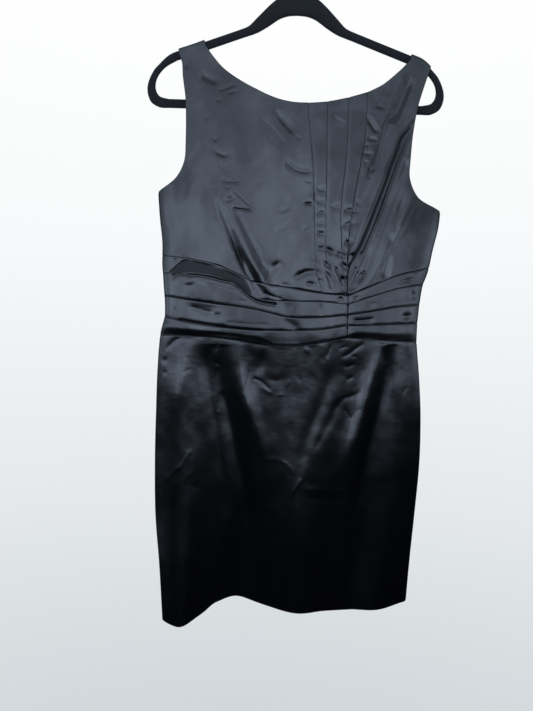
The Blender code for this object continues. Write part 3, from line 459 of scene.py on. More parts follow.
SKIRT_CREASES = creases((
    ((36, -4.5, 0, 0.75), (-1.5, -723), (11, -797.5), (25, -872), (36.5, -947)),
    ((6.04, 0.9), (-162, -588), (-174, -598), (-185.5, -610.5)),
    ((5.46, 0.6), (-182.5, -619.5), (-188.5, -630)),
    ((4.31, 0.39), (-181, -640), (-188.5, -646)),
    ((3.74, 0.25), (-164.5, -644), (-154.5, -641), (-142.5, -634.5)),
    ((3.74, 0.17), (-154.5, -607), (-153, -618.5), (-145.5, -624.5)),
    ((14, 2.4), (-122.5, -598.5), (-120.5, -634), (-114, -678.5), (-104, -726), (-93.5, -785),
     (-82.5, -860)),
    ((4.31, 0.49), (-110.5, -605.5), (-102, -601.5)),
    ((2.88, -0.44), (-112.5, -608.5), (-105, -621.5)),
    ((3.16, 0.55), (-109.5, -628.5), (-101.5, -627)),
    ((4.31, 0.39), (-104.5, -630.5), (-108.5, -648.5), (-109.5, -675.5)),
    ((2.44, 0.33), (-102, -669), (-103, -699)),
    ((6.04, 0.95), (-98, -666), (-91.5, -686.5), (-85, -712), (-79.5, -740), (-73, -769.5),
     (-66.5, -799.5), (-59.5, -832), (-52.5, -874)),
    ((17, -6.4, 0, 0.52), (-78.5, -580), (-75, -624), (-65, -668), (-47.5, -724), (-26.5, -780.5)),
    ((21, -4.6, 0, 0.55), (-156, -589.5), (-159, -638), (-164.5, -675.5), (-172, -742.5)),
    ((2.44, 0.39), (-55.5, -605.5), (-57, -635), (-61, -654.5), (-66.5, -671)),
    ((10.8, 1.8), (-40, -603.5), (-41, -629), (-43.5, -646.5)),
    ((3.45, 0.45), (-54, -647), (-43.5, -649.5), (-34.5, -656), (-25, -665.5)),
    ((9, 0.6), (-37.5, -642), (-18, -649), (1, -642.5)),
    ((3.2, -0.25), (-43, -659), (-32.5, -663.5), (-22, -670)),
    ((3.45, -0.28), (-16, -671), (-6, -669.5)),
    ((3.45, -0.25), (-4.5, -660.5), (4, -647)),
    ((16, -1.2, 0, 0.6), (-34, -676), (-41.5, -724), (-34.5, -768.5), (-27, -813.5)),
    ((4.6, -0.3), (-34.5, -768.5), (-13.5, -765), (1.5, -772), (14, -788)),
    ((15, 1.8), (67, -625.5), (55, -666), (40, -707), (27.5, -746), (21, -785)),
    ((9, 0.7), (80.5, -671.5), (69, -697), (55, -723), (39.5, -754.5)),
    ((17.6, -4.8, 0, 0.6), (117, -590.5), (116, -637.5), (111.5, -675), (102.5, -715.5),
     (91.5, -753), (79.5, -792.5), (68.5, -825.5)),
    ((13, 3.3), (143.5, -589.5), (145.5, -632.5), (140, -674.5), (130.5, -716), (121.5, -757),
     (114, -794.5), (106.5, -842.5)),
    ((4.31, 0.75), (111, -590.5), (99.5, -598.5), (88, -607.5), (76.5, -613)),
    ((3.45, 0.33), (101.5, -610), (90, -612)),
    ((3.74, 0.5), (100.5, -619), (89, -626), (78.5, -624)),
    ((4.31, 0.55), (97, -639), (85.5, -648)),
    ((6, 0.5), (109.5, -661.5), (96.5, -669.5), (83.5, -673.5), (73.5, -683.5), (66, -697)),
    ((2.3, 0.33), (84.5, -687.5), (95.5, -706)),
    ((3.45, 0.33), (95.5, -706), (100.5, -693), (110.5, -687)),
    ((2.73, 0.41), (103.5, -718.5), (113, -737.5)),
    ((3.16, 0.55), (62.5, -593.5), (58.5, -604), (56, -615.5)),
    ((2.88, 0.28), (45.5, -610), (53.5, -621.5)),
    ((2.88, 0.36), (72, -600.5), (88, -595.5)),
    ((6.9, -0.55), (23.5, -606.5), (30.5, -601.5)),
    ((5.03, 0.28), (12.5, -636), (19, -654)),
    ((5.03, 0.22), (33, -635.5), (42.5, -653)),
    ((11, -1.4, 0, 0.5), (163, -593.5), (162, -644), (163, -703.5)),
    ((3.74, 0.25), (179, -651), (170.5, -669)),
    ((4.31, -0.2), (176.5, -745), (182.5, -756.5)),
    ((3.45, -0.44), (7, -817), (17, -801.5), (24.5, -789.5)),
    ((6.47, -0.44), (22, -806), (53, -808), (92, -810)),
    ((6.47, 0.39), (28, -820.5), (61, -822), (94, -825)),
    ((4.6, -0.25), (49.5, -787), (65, -804.5)),
    ((4.02, -0.41), (5, -895), (17, -905), (28, -923), (43.5, -936), (58.5, -944.5)),
    ((5.75, 0.33), (5, -905.5), (16, -919), (27, -933.5)),
    ((3.45, -0.22), (20.5, -873.5), (40, -865.5)),
    ((3.45, -0.39), (-140.5, -753.5), (-147.5, -767.5), (-154.5, -779.5), (-166.5, -788.5),
     (-178, -804)),
    ((4.89, -0.22), (-131, -782), (-144, -794), (-154, -806.5)),
    ((2.88, 0.25), (-139, -803), (-131.5, -811.5), (-127.5, -801)),
    ((4.6, -0.2), (-50.5, -824.5), (-31, -836), (-11.5, -840)),
    ((4.6, -0.17), (-48.5, -851.5), (-29, -861.5)),
    ((5.75, -0.39), (192, -810), (189.5, -882.5), (186, -952)),
    ((11, -0.5), (163, -790), (165.5, -830.5), (167, -874)),
))
BACK_BODICE_CREASES = creases((
    ((2, 1), (-85, -586), (-85, -540), (-85, -500), (-85, -462)),
    ((2, 1), (93, -586), (93, -540), (93, -500), (93, -462)),
    ((14, 1.2), (-20, -262), (-60, -300), (-100, -350)),
    ((14, 1), (36, -270), (80, -312), (120, -366)),
    ((12, 1.1), (-120, -400), (-90, -440), (-60, -470)),
    ((12, 1.2), (140, -420), (100, -455), (60, -480)),
    ((10, 0.9), (-150, -250), (-140, -300), (-138, -350)),
    ((8, 1), (-170, -500), (-130, -520), (-95, -530)),
    ((8, 0.9), (180, -510), (140, -530), (100, -545)),
    ((6, 0.8), (10, -430), (26, -436), (44, -434)),
    ((6, 0.8), (-4, -500), (-22, -508), (-42, -505)),
))
BACK_SKIRT_CREASES = creases((
    ((2, 1), (-85, -588), (-85, -620), (-85, -660), (-85, -700)),
    ((2, 1), (93, -588), (93, -620), (93, -660), (93, -700)),
    ((12, 1.3), (-150, -600), (-110, -640), (-70, -665)),
    ((12, 1.2), (160, -604), (120, -640), (80, -662)),
    ((14, 1.6), (-60, -700), (-66, -800), (-80, -960)),
    ((14, 1.6), (70, -720), (80, -840), (90, -960)),
    ((10, 0.9), (-140, -720), (-110, -740), (-70, -745)),
    ((10, 0.9), (150, -760), (110, -785), (60, -790)),
    ((6, 0.9), (8, -700), (20, -712), (36, -730)),
))
CREASE_STEP = 3.0
CREASE_REACH = 3.2
CREASE_TAPER = 2.5
CREASE_TAPER_SHARE = 0.5
CREASE_BLUNTNESS = 0.15
CREASE_BLEND = ((2.4, 5.0), (0.3, 0.75))
CREASE_PIN = 4.0
CREASE_SPACING = 0.6
CREASE_ROW_STEP = 0.6
CREASE_ROWS = (0.0, -0.25, 0.25, -0.6, 0.6, -1.0, 1.0, -1.6, 1.6)
LEAST_CREASE_STEP = 1.3
RELIEF_AT_SEAM = 0.35
RELIEF_PIN = 2.5

# The cloth's slight unevenness: lengths across and down, and share of the height.
RUFFLES = ((34.0, 46.0, 1.0), (13.0, 19.0, 0.32), (7.0, 6.0, 0.08))
RUFFLE_SEED = 7.3
FRONT_RUFFLE = 0.8
BACK_RUFFLE = 1.0
CHUNK = 2000
FAR = 1e6
TINY = 1e-9

ZIP_WIDTH = 22.0
ZIP_TOP = -228.0
ZIP_BOTTOM = -700.0
TAPE_THICKNESS = 0.7
COIL_PITCH = 1.4
COIL_RADIUS = 0.45
COIL_WIDTH = 3.4
COIL_SINK = 0.8
COIL_SEGMENTS = 8
COIL_ENDS = (12, 4)
HANGER_STEP = 2.0
HANGER_ROUNDING = 2.3
CURVE_WELD = 0.001 * MM
HOOK_BOW_POINTS = 64
HOOK_TIP_SHARE = 0.08
HOOK_TIP_RINGS = 6
HOOK_TIP_GAP = 0.2
SHARP_ANGLE = math.radians(40)

# Deep in a crease, where little light gets in, the satin turns dull, and its shine is darkened as
# painted shade from ambient occlusion. HOLLOW_AO is the range of that light, and CLOUDY_TINT the
# range of a noise and the shares of shine it turns into.
HOLLOW_REACH = 0.009
HOLLOW_SAMPLES = 12
HOLLOW_AO = (0.3, 0.72)
HOLLOW_PAINTED_SHADE = 0.04
HOLLOW_ROUGHNESS = 0.85
CLOUDY_TINT = ((0.3, 0.7), (0.72, 1.0))
CLOUDY_FREQUENCY = 24

CAMERA_PLACE = (-0.033, -0.780, -0.613)
CAMERA_ROLL = math.radians(1.6)
CAMERA_LENS = 26.0
CAMERA_SENSOR = 36.0
CAMERA_CLIP = 0.01
FLOOR_Z = -1.9
FLOOR_RADIUS = 0.94
ROUND_SEGMENTS = 96

# The softbox wall's brightness by height in metres, and its shares by place across and in depth,
# which are in its radius.
SURROUND_RADIUS = 0.96
SURROUND_TOP = 1.6
SURROUND = (
    (-1.5, 0.008), (-1.14, 0.011), (-1.0, 0.015), (-0.925, 0.022), (-0.86, 0.029), (-0.805, 0.04),
    (-0.755, 0.065), (-0.7, 0.17), (-0.64, 0.78), (-0.58, 1.4), (-0.45, 1.6), (-0.25, 1.38),
    (0.0, 1.05), (0.3, 0.92), (0.6, 0.85), (0.85, 0.6), (1.2, 0.35), (1.6, 0.3),
)
SURROUND_COLOUR = (0.84, 1.0, 1.27)
SURROUND_STRENGTH = 1.1
SURROUND_ACROSS = (
    (-1.0, 0.5), (-0.8, 0.8), (-0.6, 1.05), (-0.2, 1.0), (0.0, 0.97), (0.16, 1.16), (0.3, 0.95),
    (0.5, 0.6), (0.8, 0.3),
)
SURROUND_DEEP = ((-0.12, 1.0), (0.12, 0.08), (0.7, 0.08), (0.84, 1.0))
# How much the shares across are evened out, by height in metres.
SIDES_EVEN_OUT = ((-0.5, 0.35), (-0.25, 1.0), (0.05, 1.0), (0.25, 0.5))
# Clouds on the wall: the range of their noise, and the shares of light that it turns into.
CLOUD_SCALE = 7.0
CLOUD_DETAIL = 1.5
CLOUDS = ((0.35, 0.65), (0.4, 1.5))
SKY = 0.35

# The plain background's colours by degrees above the horizon.
BACKGROUND = (
    (-40, (0.6, 0.645, 0.67)), (-15, (0.78, 0.81, 0.83)), (10, (0.92, 0.94, 0.95)),
    (35, (1.0, 1.0, 1.0)),
)


# Curves through the tables' points


def smooth_values(keys, values, at):
    """A smooth curve through the values at rising keys, held straight past its ends."""
    keys, values, at = (np.asarray(part, float) for part in (keys, values, at))
    order = np.arange(len(keys))
    low, high = np.maximum(order - 1, 0), np.minimum(order + 1, len(keys) - 1)
    slopes = (values[high] - values[low]) / (keys[high] - keys[low])
    i = np.clip(np.searchsorted(keys, at, side="right") - 1, 0, len(keys) - 2)
    width = keys[i + 1] - keys[i]
    reach = (at - keys[i]) / width
    t = np.clip(reach, 0, 1)
    t2, t3 = t * t, t * t * t
    curve = (
        (2 * t3 - 3 * t2 + 1) * values[i]
        + (t3 - 2 * t2 + t) * slopes[i] * width
        + (3 * t2 - 2 * t3) * values[i + 1]
        + (t3 - t2) * slopes[i + 1] * width
    )
    before = np.minimum(reach, 0) * width * slopes[i]
    beyond = np.maximum(reach - 1, 0) * width * slopes[i + 1]
    return curve + before + beyond


def smooth_path(points, step):
    """Points about a step apart on a smooth curve through the given ones."""
    points = np.asarray(points, float)
    lengths = run_lengths(points)
    count = max(2, round(lengths[-1] / step))
    stops = np.linspace(0, lengths[-1], count + 1)
    return np.column_stack([smooth_values(lengths, points[:, axis], stops) for axis in (0, 1)])


def run_lengths(points):
    """The length of a path up to each of its points."""
    return np.concatenate([[0], np.cumsum(np.hypot(*np.diff(points, axis=0).T))])


def straight_path(points, step):
    """Points about a step apart on the straight runs between the given ones."""
    made = [np.asarray(points[0], float)[None]]
    for a, b in zip(points, points[1:]):
        a, b = np.asarray(a, float), np.asarray(b, float)
        count = max(1, math.ceil(np.hypot(*(b - a)) / step))
        made.append(a + (b - a) * (np.arange(1, count + 1) / count)[:, None])
    return np.vstack(made)


def ease(t):
    t = np.clip(t, 0, 1)
    return t * t * (3 - 2 * t)


def across(start, end, step):
    """Even stations from start to end, both included."""
    return np.linspace(start, end, max(1, round(abs(end - start) / step)) + 1)


# The form of the hanging dress

DOWN = [-row.z for row in SECTIONS]
COLUMNS = {name: [getattr(row, name) for row in SECTIONS] for name in Section._fields}


def section(name, z):
    return smooth_values(DOWN, COLUMNS[name], -np.asarray(z, float))


def arm_top(x):
    """Height of the hanger arm's upper edge, which bends down near its end."""
    reach = np.abs(x)
    bend = np.maximum(0.0, reach - ARM_BEND_X)
    return ARM_START_Z - ARM_SLOPE * (reach - ARM_START_X) - ARM_BEND * bend * bend


def strap_arc_base(x):
    """Height at which a strap starts to turn over the hanger arm."""
    reach = np.maximum(np.abs(x), STRAP_INNER_X)
    return arm_top(reach) + STRAP_CLEARANCE + CLOTH - STRAP_RADIUS


def strap_end(x):
    """Flat height of the shoulder seam, a quarter turn past the start of the arc."""
    return strap_arc_base(x) + STRAP_RADIUS * math.pi / 2


def fold_depth(stations, x, z):
    low, top = stations[-1].z, stations[0].z
    down, at = [-stop.z for stop in stations], -np.clip(z, low, top)
    centre, depth, width = (
        smooth_values(down, [getattr(stop, name) for stop in stations], at)
        for name in ("x", "depth", "width")
    )
    within = (z >= low) & (z <= top)
    return np.where(within, depth * np.exp(-(((x - centre) / width) ** 2)), 0.0)


def place(x, z, face, inset, rise=0.0):
    """Points of the cut laid on the form, inset under its outer side and raised from it."""
    base = strap_arc_base(x)
    left, right = section("left", z), section("right", z)
    middle, half = (left + right) / 2, (right - left) / 2
    s = np.clip((x - middle) / half, -1, 1)
    roundness = np.sqrt(1 - np.abs(s) ** SIDE_ROUNDNESS)
    depth = (section("front" if face == FRONT else "back", z) - inset) * roundness
    fill = ease((base - z) / (FRONT_FILL if face == FRONT else BACK_FILL))
    depth = (STRAP_RADIUS - inset) * (1 - fill) + depth * fill
    from_sides = 1 - np.abs(s) ** FOLD_EDGE_FADE
    for stations in (FRONT_FOLDS if face == FRONT else BACK_FOLDS).values():
        depth += from_sides * fold_depth(stations, x, z)
    side_y = section("left_y", z) * ((1 - s) / 2) ** SIDE_SWING_POWER
    side_y += section("right_y", z) * ((1 + s) / 2) ** SIDE_SWING_POWER
    in_x = inset * ease((base - z) / STRAP_INSET_REACH)
    flat_x = middle + s * half - s * np.abs(s) ** SIDE_INSET_POWER * in_x
    flat = np.column_stack([flat_x, side_y + face * (depth + rise + HALF_GAP), z])
    turn = (z - base) / STRAP_RADIUS
    radius = STRAP_RADIUS - inset + rise
    over_y = face * np.maximum(radius * np.cos(turn), HALF_GAP)
    over = np.column_stack([x, over_y, base + radius * np.sin(turn)])
    return np.where((z > base)[:, None], over, flat)


# Pleats and bands


def midriff_line(name, half, x):
    return smooth_values(MIDRIFF_STATIONS[half], MIDRIFF_LINES[name][half], x)


def pleat_folds(z):
    """Where each pleat's fold lies at each height, and how much it is scaled down there."""
    lines = [
        smooth_values([-p[1] for p in points], [p[0] for p in points], -z) for points in PLEATS
    ]
    starts = [lines[0] - FIRST_PLEAT_WIDTH, *lines]
    widths = [line - start for line, start in zip(lines, starts)]
    beside = [*widths[1:], widths[-1]]
    return lines, [fold_scale(np.minimum(*pair)) for pair in zip(widths, beside)]


def fold_scale(width):
    """How much a fold is scaled down where its pleat or band is narrow."""
    return np.clip(width / FULL_PLEAT_WIDTH, LEAST_PLEAT_SCALE, 1)


def fold_over(at, fold, start, scale, height, plateau, dive=DIVE_WIDTH, profile=PLEAT_PROFILE):
    """One pleat or band: how far it rises from start to its fold, and how far it leans over."""
    first = profile[0]
    u = (at - fold) / scale
    top = np.maximum(fold + first.u * scale, start + LEAST_TOP)
    t = np.clip((at - start) / (top - start), 0, 1)
    flat = ease((at - start) / np.minimum(dive * scale, DIVE_SHARE * (top - start)))
    before = first.share * ((1 - plateau) * t**RISE_POWER + plateau * flat)
    left_over = first.shift * np.exp((u - first.u) / PLEAT_SHIFT_REACH)
    places, shifts, shares = zip(*profile)
    rise = np.where(u < first.u, before, np.interp(u, places, shares))
    lean = np.where(u < first.u, left_over, np.interp(u, places, shifts))
    return height * rise, scale * lean


def pleat_shape(x, z):
    """Rise of the bodice's pleats at each point, and their lean in x."""
    lines, scales = pleat_folds(z)
    rise, lean = nothing(x, z)
    start = lines[0] - FIRST_PLEAT_WIDTH
    for i, (line, scale, height) in enumerate(zip(lines, scales, PLEAT_HEIGHTS)):
        share = LEAST_PLEAT_SCALE + (1 - LEAST_PLEAT_SCALE) * scale
        share = share * (1 - PLEAT_FADES[i] * ease((PLEAT_FADE_SPAN[0] - z) / PLEAT_FADE_SPAN[1]))
        profile = PLEAT_PROFILE
        if i == len(lines) - 1:
            share = share * ease((LAST_PLEAT_FADE[0] - z) / LAST_PLEAT_FADE[1])
            profile = DRAPE_PROFILE
        height = height * share
        up, over = fold_over(x, line, start, scale, height, PLEAT_PLATEAUS[i], profile=profile)
        rise, lean = rise + up, lean + over * np.minimum(share * MOST_LEAN, 1)
        start = line + PLEAT_FOOT * scale
    return rise, lean


def band_scale(name, half, x):
    """How much a band's fold is scaled down, from the height of the band below it."""
    names = [*BAND_EDGES, "skirt_seam"]
    below = names[names.index(name) + 1]
    return fold_scale(midriff_line(name, half, x) - midriff_line(below, half, x))


def band_shape(half, x, z):
    """The rise and lean in z of the midriff's bands, whose folds are at their top edges."""
    rise, lean = nothing(x, z)
    for upper, lower in zip(BAND_EDGES, BAND_EDGES[1:]):
        top, low = midriff_line(upper, half, x), midriff_line(lower, half, x)
        start = low + PLEAT_FOOT * band_scale(lower, half, x)
        scale, height = band_scale(upper, half, x), FLAT_BAND_HEIGHTS[upper]
        up, over = fold_over(z, top, start, scale, height, BAND_PLATEAU)
        on = z > start
        rise, lean = rise + np.where(on, up, 0), lean + np.where(on, over, 0)
    top, low = midriff_line("third_fold", half, x), midriff_line("skirt_seam", half, x)
    if half == "right":
        steep = ease((LOW_BAND_STEEP[1] - x) / (LOW_BAND_STEEP[1] - LOW_BAND_STEEP[0]))
    else:
        steep = ease((x - CENTRE_FRONT_SEAM_X) / LOW_BAND_STEEP_REACH)
    flat = FLAT_BAND_HEIGHTS["third_fold"]
    height = flat + (LOW_BAND_HEIGHT - flat) * steep * LOW_BAND_SHARE[half]
    dive = DIVE_WIDTH + (LOW_BAND_DIVE * (top - low) - DIVE_WIDTH) * steep
    scale = band_scale("third_fold", half, x)
    up, over = fold_over(z, top, low, scale, height, BAND_PLATEAU, dive)
    return rise + up, lean + over


def midriff_relief(half):
    def shape(x, z):
        rise, lean = band_shape(half, x, z)
        top, low = midriff_line("top_seam", half, x), midriff_line("first_fold", half, x)
        on_strip = (z > low) & (z <= top)
        depth, reach = STRIP_FOOT
        sink = depth * ease(1 - (z - low) / reach)
        if half == "right":
            t = np.clip((top - z) / (top - low), 0, 1)
            start, end = STRIP_SINK_ENDS
            (ax, az), (bx, bz) = STRIP_FLAP
            past = ((bx - ax) * (z - az) - (bz - az) * (x - ax)) / math.dist(*STRIP_FLAP)
            off_flap = 1 - ease(0.5 - past / STRIP_FLAP_EASE)
            sunk = ease((end - x) / (end - start)) * off_flap
            ending = 1 - ease((t - STRIP_END) / (1 - STRIP_END))
            sink = sink * (1 - sunk) + STRIP_SINK * t**STRIP_CURVE * ending * sunk
        return rise - np.where(on_strip, sink, 0), lean

    return shape


def nothing(x, z):
    return np.zeros(len(x)), np.zeros(len(z))


# Creases, edges and the cloth's mesh


def from_segments(x, z, starts, along, squared_length):
    """How far along each segment each point lies, from 0 to 1, and its squared distance."""
    from_x, from_z = x[:, None] - starts[:, 0], z[:, None] - starts[:, 1]
    t = np.clip((from_x * along[:, 0] + from_z * along[:, 1]) / squared_length, 0, 1)
    squared = (from_x - t * along[:, 0]) ** 2 + (from_z - t * along[:, 1]) ** 2
    return t, squared, from_x, from_z


def stroke(crease, x, z):
    """How deep one crease is at each point."""
    path = smooth_path(crease.points, CREASE_STEP)
    reach = CREASE_REACH * crease.width
    low, high = path.min(axis=0) - reach, path.max(axis=0) + reach
    near = np.nonzero((x > low[0]) & (x < high[0]) & (z > low[1]) & (z < high[1]))[0]
    along, done = np.diff(path, axis=0), run_lengths(path)
    lengths = np.hypot(*along.T)
    t, squared, from_x, from_z = from_segments(x[near], z[near], path[:-1], along, lengths**2)
    row, best = np.arange(len(near)), np.argmin(squared, axis=1)
    run = done[best] + t[row, best] * lengths[best]
    side = np.sign(along[best, 0] * from_z[row, best] - along[best, 1] * from_x[row, best])
    width = crease.width * (1 + crease.skew * side)
    taper = np.ones(len(near))
    if crease.peak:
        share = run / done[-1]
        taper = np.minimum(share / crease.peak, 1) * ease((1 - share) / (1 - crease.peak))
    elif done[-1] > crease.width:
        end = np.minimum(run, done[-1] - run)
        full = min(CREASE_TAPER * crease.width, CREASE_TAPER_SHARE * done[-1])
        taper = ease(CREASE_BLUNTNESS + end / full)
    depth = np.zeros(len(x))
    blend = np.interp(crease.width, *CREASE_BLEND) / (1 + (crease.depth / crease.width) ** 2)
    away = np.sqrt(squared[row, best] / width**2 + blend**2) - blend
    depth[near] = crease.depth * taper * np.exp(-away / (1 - blend))
    return depth


def normals(path):
    """The path's direction at each point turned a quarter, and its length there."""
    along = np.gradient(path, axis=0)
    return np.column_stack([-along[:, 1], along[:, 0]]), np.hypot(*along.T)[:, None]


def crease_points(strokes):
    """Extra points along and beside each crease, so that the mesh can follow it."""
    made = []
    for crease in strokes:
        path = smooth_path(crease.points, max(LEAST_CREASE_STEP, CREASE_ROW_STEP * crease.width))
        normal, length = normals(path)
        made += [path + normal / length * row * crease.width for row in CREASE_ROWS]
    return np.vstack(made) if made else NO_POINTS


def distance_to(x, z, paths):
    """Distance from each point to the nearest of the paths."""
    if not paths:
        return np.full(len(x), FAR)
    starts = np.vstack([path[:-1] for path in paths])
    along = np.vstack([np.diff(path, axis=0) for path in paths])
    squared_length = np.maximum((along**2).sum(axis=1), TINY)
    least = np.empty(len(x))
    for first in range(0, len(x), CHUNK):
        part = slice(first, first + CHUNK)
        _, squared, *_ = from_segments(x[part], z[part], starts, along, squared_length)
        least[part] = np.sqrt(squared.min(axis=1))
    return least


def kept_inside(points, outline):
    """The points that lie inside the outline."""
    ax, az = outline.T
    bx, bz = np.roll(ax, -1), np.roll(az, -1)
    slope = (bx - ax) / np.where(bz == az, TINY, bz - az)
    found = np.empty(len(points), bool)
    for first in range(0, len(points), CHUNK):
        part = slice(first, first + CHUNK)
        px, pz = points[part, :1], points[part, 1:]
        crossed = ((az > pz) != (bz > pz)) & (px < ax + (pz - az) * slope)
        found[part] = crossed.sum(axis=1) % 2 == 1
    return points[found]


def kept_clear(points, paths, least):
    """The points that lie further than least from all the paths."""
    return points[distance_to(*points.T, paths) > least]


def signed_area(outline):
    ax, az = outline.T
    return float((ax * np.roll(az, -1) - np.roll(ax, -1) * az).sum() / 2)


def edge_rows(edges, turn):
    """Rows of points just inside each edge, each with how far in it lies."""
    made = []
    for kind, path in edges:
        normal, length = normals(path)
        normal = turn * normal / np.maximum(length, TINY)
        for reach in EDGE_ROWS[kind]:
            made.append(np.column_stack([path + normal * reach, np.full(len(path), reach)]))
    return np.vstack(made)


def spaced(points, others, spacing):
    """The points that keep the spacing from the others and from each other, in their order."""
    placed = {}

    def cell(px, pz):
        return int(px // spacing), int(pz // spacing)

    def clear(px, pz):
        i, j = cell(px, pz)
        return not any(
            (px - qx) ** 2 + (pz - qz) ** 2 < spacing * spacing
            for near_i in (i - 1, i, i + 1)
            for near_j in (j - 1, j, j + 1)
            for qx, qz in placed.get((near_i, near_j), ())
        )

    for point in others:
        placed.setdefault(cell(*point), []).append(point)
    kept = []
    for point in points:
        if clear(*point):
            kept.append(point)
            placed.setdefault(cell(*point), []).append(point)
    return np.array(kept).reshape(-1, 2)


def hex_grid(outline, step):
    low, high = outline.min(axis=0), outline.max(axis=0)
    rows = np.arange(low[1], high[1], step * HEX_ROW)
    grid_x, grid_z = np.meshgrid(np.arange(low[0], high[0], step), rows)
    grid_x = grid_x + (np.arange(len(rows)) % 2)[:, None] * step / 2
    return np.column_stack([grid_x.ravel(), grid_z.ravel()])


def cut_mesh(edges, lines, extra, step):
    """The flat cut as triangles, with its outline and its fold lines kept as edges."""
    outline = np.vstack([path[:-1] for _, path in edges])
    closed = np.vstack([outline, outline[:1]])
    rows = edge_rows(edges, 1 if signed_area(outline) > 0 else -1)
    near_edge = distance_to(rows[:, 0], rows[:, 1], [closed]) < EDGE_ROW_CLEARANCE * rows[:, 2]
    free = np.vstack([kept_inside(rows[~near_edge, :2], outline), extra])
    free = kept_inside(kept_clear(free, lines, LINE_CLEARANCE), outline)
    line_points = np.vstack(lines) if lines else NO_POINTS
    grid = kept_inside(hex_grid(outline, step), outline)
    grid = kept_clear(grid, [closed, *lines], step * GRID_CLEARANCE)
    grid = spaced(grid, np.vstack([free, outline, line_points]), step * ROW_CLEARANCE)
    points = np.vstack([outline, line_points, free, grid])
    count = len(outline)
    constraints = [(i, (i + 1) % count) for i in range(count)]
    for line in lines:
        constraints += [(count + i, count + i + 1) for i in range(len(line) - 1)]
        count += len(line)
    face = list(range(len(outline)))
    flat = [Vector(point) for point in points]
    verts, _, faces, *_ = delaunay_2d_cdt(flat, constraints, [face], 1, WELD)
    verts, faces = np.array([tuple(v) for v in verts]), np.array(faces)
    used, index = np.unique(faces, return_inverse=True)
    faces = index.reshape(faces.shape)
    a, b, c = (verts[used][faces[:, i]] for i in range(3))
    turned = (b[:, 0] - a[:, 0]) * (c[:, 1] - a[:, 1]) < (b[:, 1] - a[:, 1]) * (c[:, 0] - a[:, 0])
    faces[turned] = faces[turned][:, ::-1]
    return verts[used], faces


def rim_edges(faces):
    """The directed edges on the cut's outline."""
    ends = np.concatenate([faces[:, [0, 1]], faces[:, [1, 2]], faces[:, [2, 0]]])
    sorted_ends = np.sort(ends, axis=1)
    _, index, count = np.unique(sorted_ends, axis=0, return_inverse=True, return_counts=True)
    return ends[count[index.reshape(-1)] == 1]


def put_in_scene(name, data, materials=()):
    obj = bpy.data.objects.new(name, data)
    for made in materials:
        data.materials.append(made)
    bpy.context.scene.collection.objects.link(obj)
    return obj


def put_bmesh_in_scene(name, built, material):
    data = bpy.data.meshes.new(name)
    built.to_mesh(data)
    built.free()
    return put_in_scene(name, data, [material])


def shade(obj):
    obj.data.shade_smooth()
    obj.data.set_sharp_from_angle(angle=SHARP_ANGLE)


def shell(name, faces, outer, inner, face, slots):
    """A closed thin shell between two layings of one flat cut."""
    count = len(outer)
    rim = rim_edges(faces)
    front, back = (faces, faces[:, ::-1]) if face == FRONT else (faces[:, ::-1], faces)
    rim = rim if face == FRONT else rim[:, ::-1]
    quads = np.column_stack([rim[:, 1], rim[:, 0], rim[:, 0] + count, rim[:, 1] + count])
    data = bpy.data.meshes.new(name)
    polygons = [*front.tolist(), *(back + count).tolist(), *quads.tolist()]
    data.from_pydata((np.vstack([outer, inner]) * MM).tolist(), [], polygons)
    obj = put_in_scene(name, data, slots)
    lined = np.zeros(len(polygons), np.int32)
    lined[len(front) : len(front) + len(back)] = len(slots) - 1
    data.polygons.foreach_set("material_index", lined)
    data.shade_smooth()
    return obj


def ruffle(x, z, face, height):
    """The cloth's slight unevenness."""
    made = np.zeros(len(x))
    for wide, long, share in RUFFLES:
        points = (Vector((px / wide, face * RUFFLE_SEED, pz / long)) for px, pz in zip(x, z))
        made += share * np.array([noise.noise(point) for point in points])
    return height * made


def cloth(name, node, face, edges, lines=(), extra=(), relief=nothing, leans="x", strokes=()):
    """A piece of cloth that replaces its solid."""
    coarser = 1.0
    step = (FRONT_STEP if face == FRONT else BACK_STEP) * coarser
    marked = spaced(crease_points(strokes), NO_POINTS, CREASE_SPACING * coarser)
    verts, faces = cut_mesh(edges, list(lines), np.vstack([marked, *extra]), step)
    x, z = verts.T
    to_edge = {
        kind: distance_to(x, z, [path for found, path in edges if found == kind])
        for kind in EDGE_ROWS
    }
    sewn = np.minimum(to_edge["seam"], to_edge["side"])
    roll = np.maximum(FREE_ROLL - to_edge["free"], 0)
    inset = FREE_ROLL - np.sqrt(FREE_ROLL**2 - roll**2)
    valley = SEAM_VALLEY_DEPTH * np.maximum(1 - sewn / SEAM_VALLEY_WIDTH, 0) ** 2
    inset = np.maximum(inset, valley)
    sewn = np.minimum(sewn, to_edge["tucked"])
    dent = sum((stroke(crease, x, z) for crease in strokes), np.zeros(len(x)))
    height = FRONT_RUFFLE if face == FRONT else BACK_RUFFLE
    both = ease(sewn / CREASE_PIN) * (ruffle(x, z, face, height) - dent)
    rise, lean = relief(x, z)
    relief_pin = RELIEF_AT_SEAM + (1 - RELIEF_AT_SEAM) * ease(sewn / RELIEF_PIN)
    rise, lean = rise * relief_pin, lean * relief_pin
    step_up = NECK_STEP * np.clip(rise / 2, 0, 1) * np.exp(-to_edge["free"] / NECK_STEP_REACH)
    moved = (x + lean, z + step_up) if leans == "x" else (x, z + lean)
    outer = place(*moved, face, inset, both + rise)
    inner = place(x, z, face, WALL - inset, both)
    obj = shell(name, faces, outer, inner, face, (SATIN, LINING))
    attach(obj, "dress")
    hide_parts(node)
    return obj


# Edges of the cuts, each with its kind


def side_path(side, top, low):
    z = across(top, low, EDGE_STEP)
    return np.column_stack([section(side, z), z])


def plumb_path(x, top, low):
    z = across(top, low, EDGE_STEP)
    return np.column_stack([np.full(len(z), x), z])


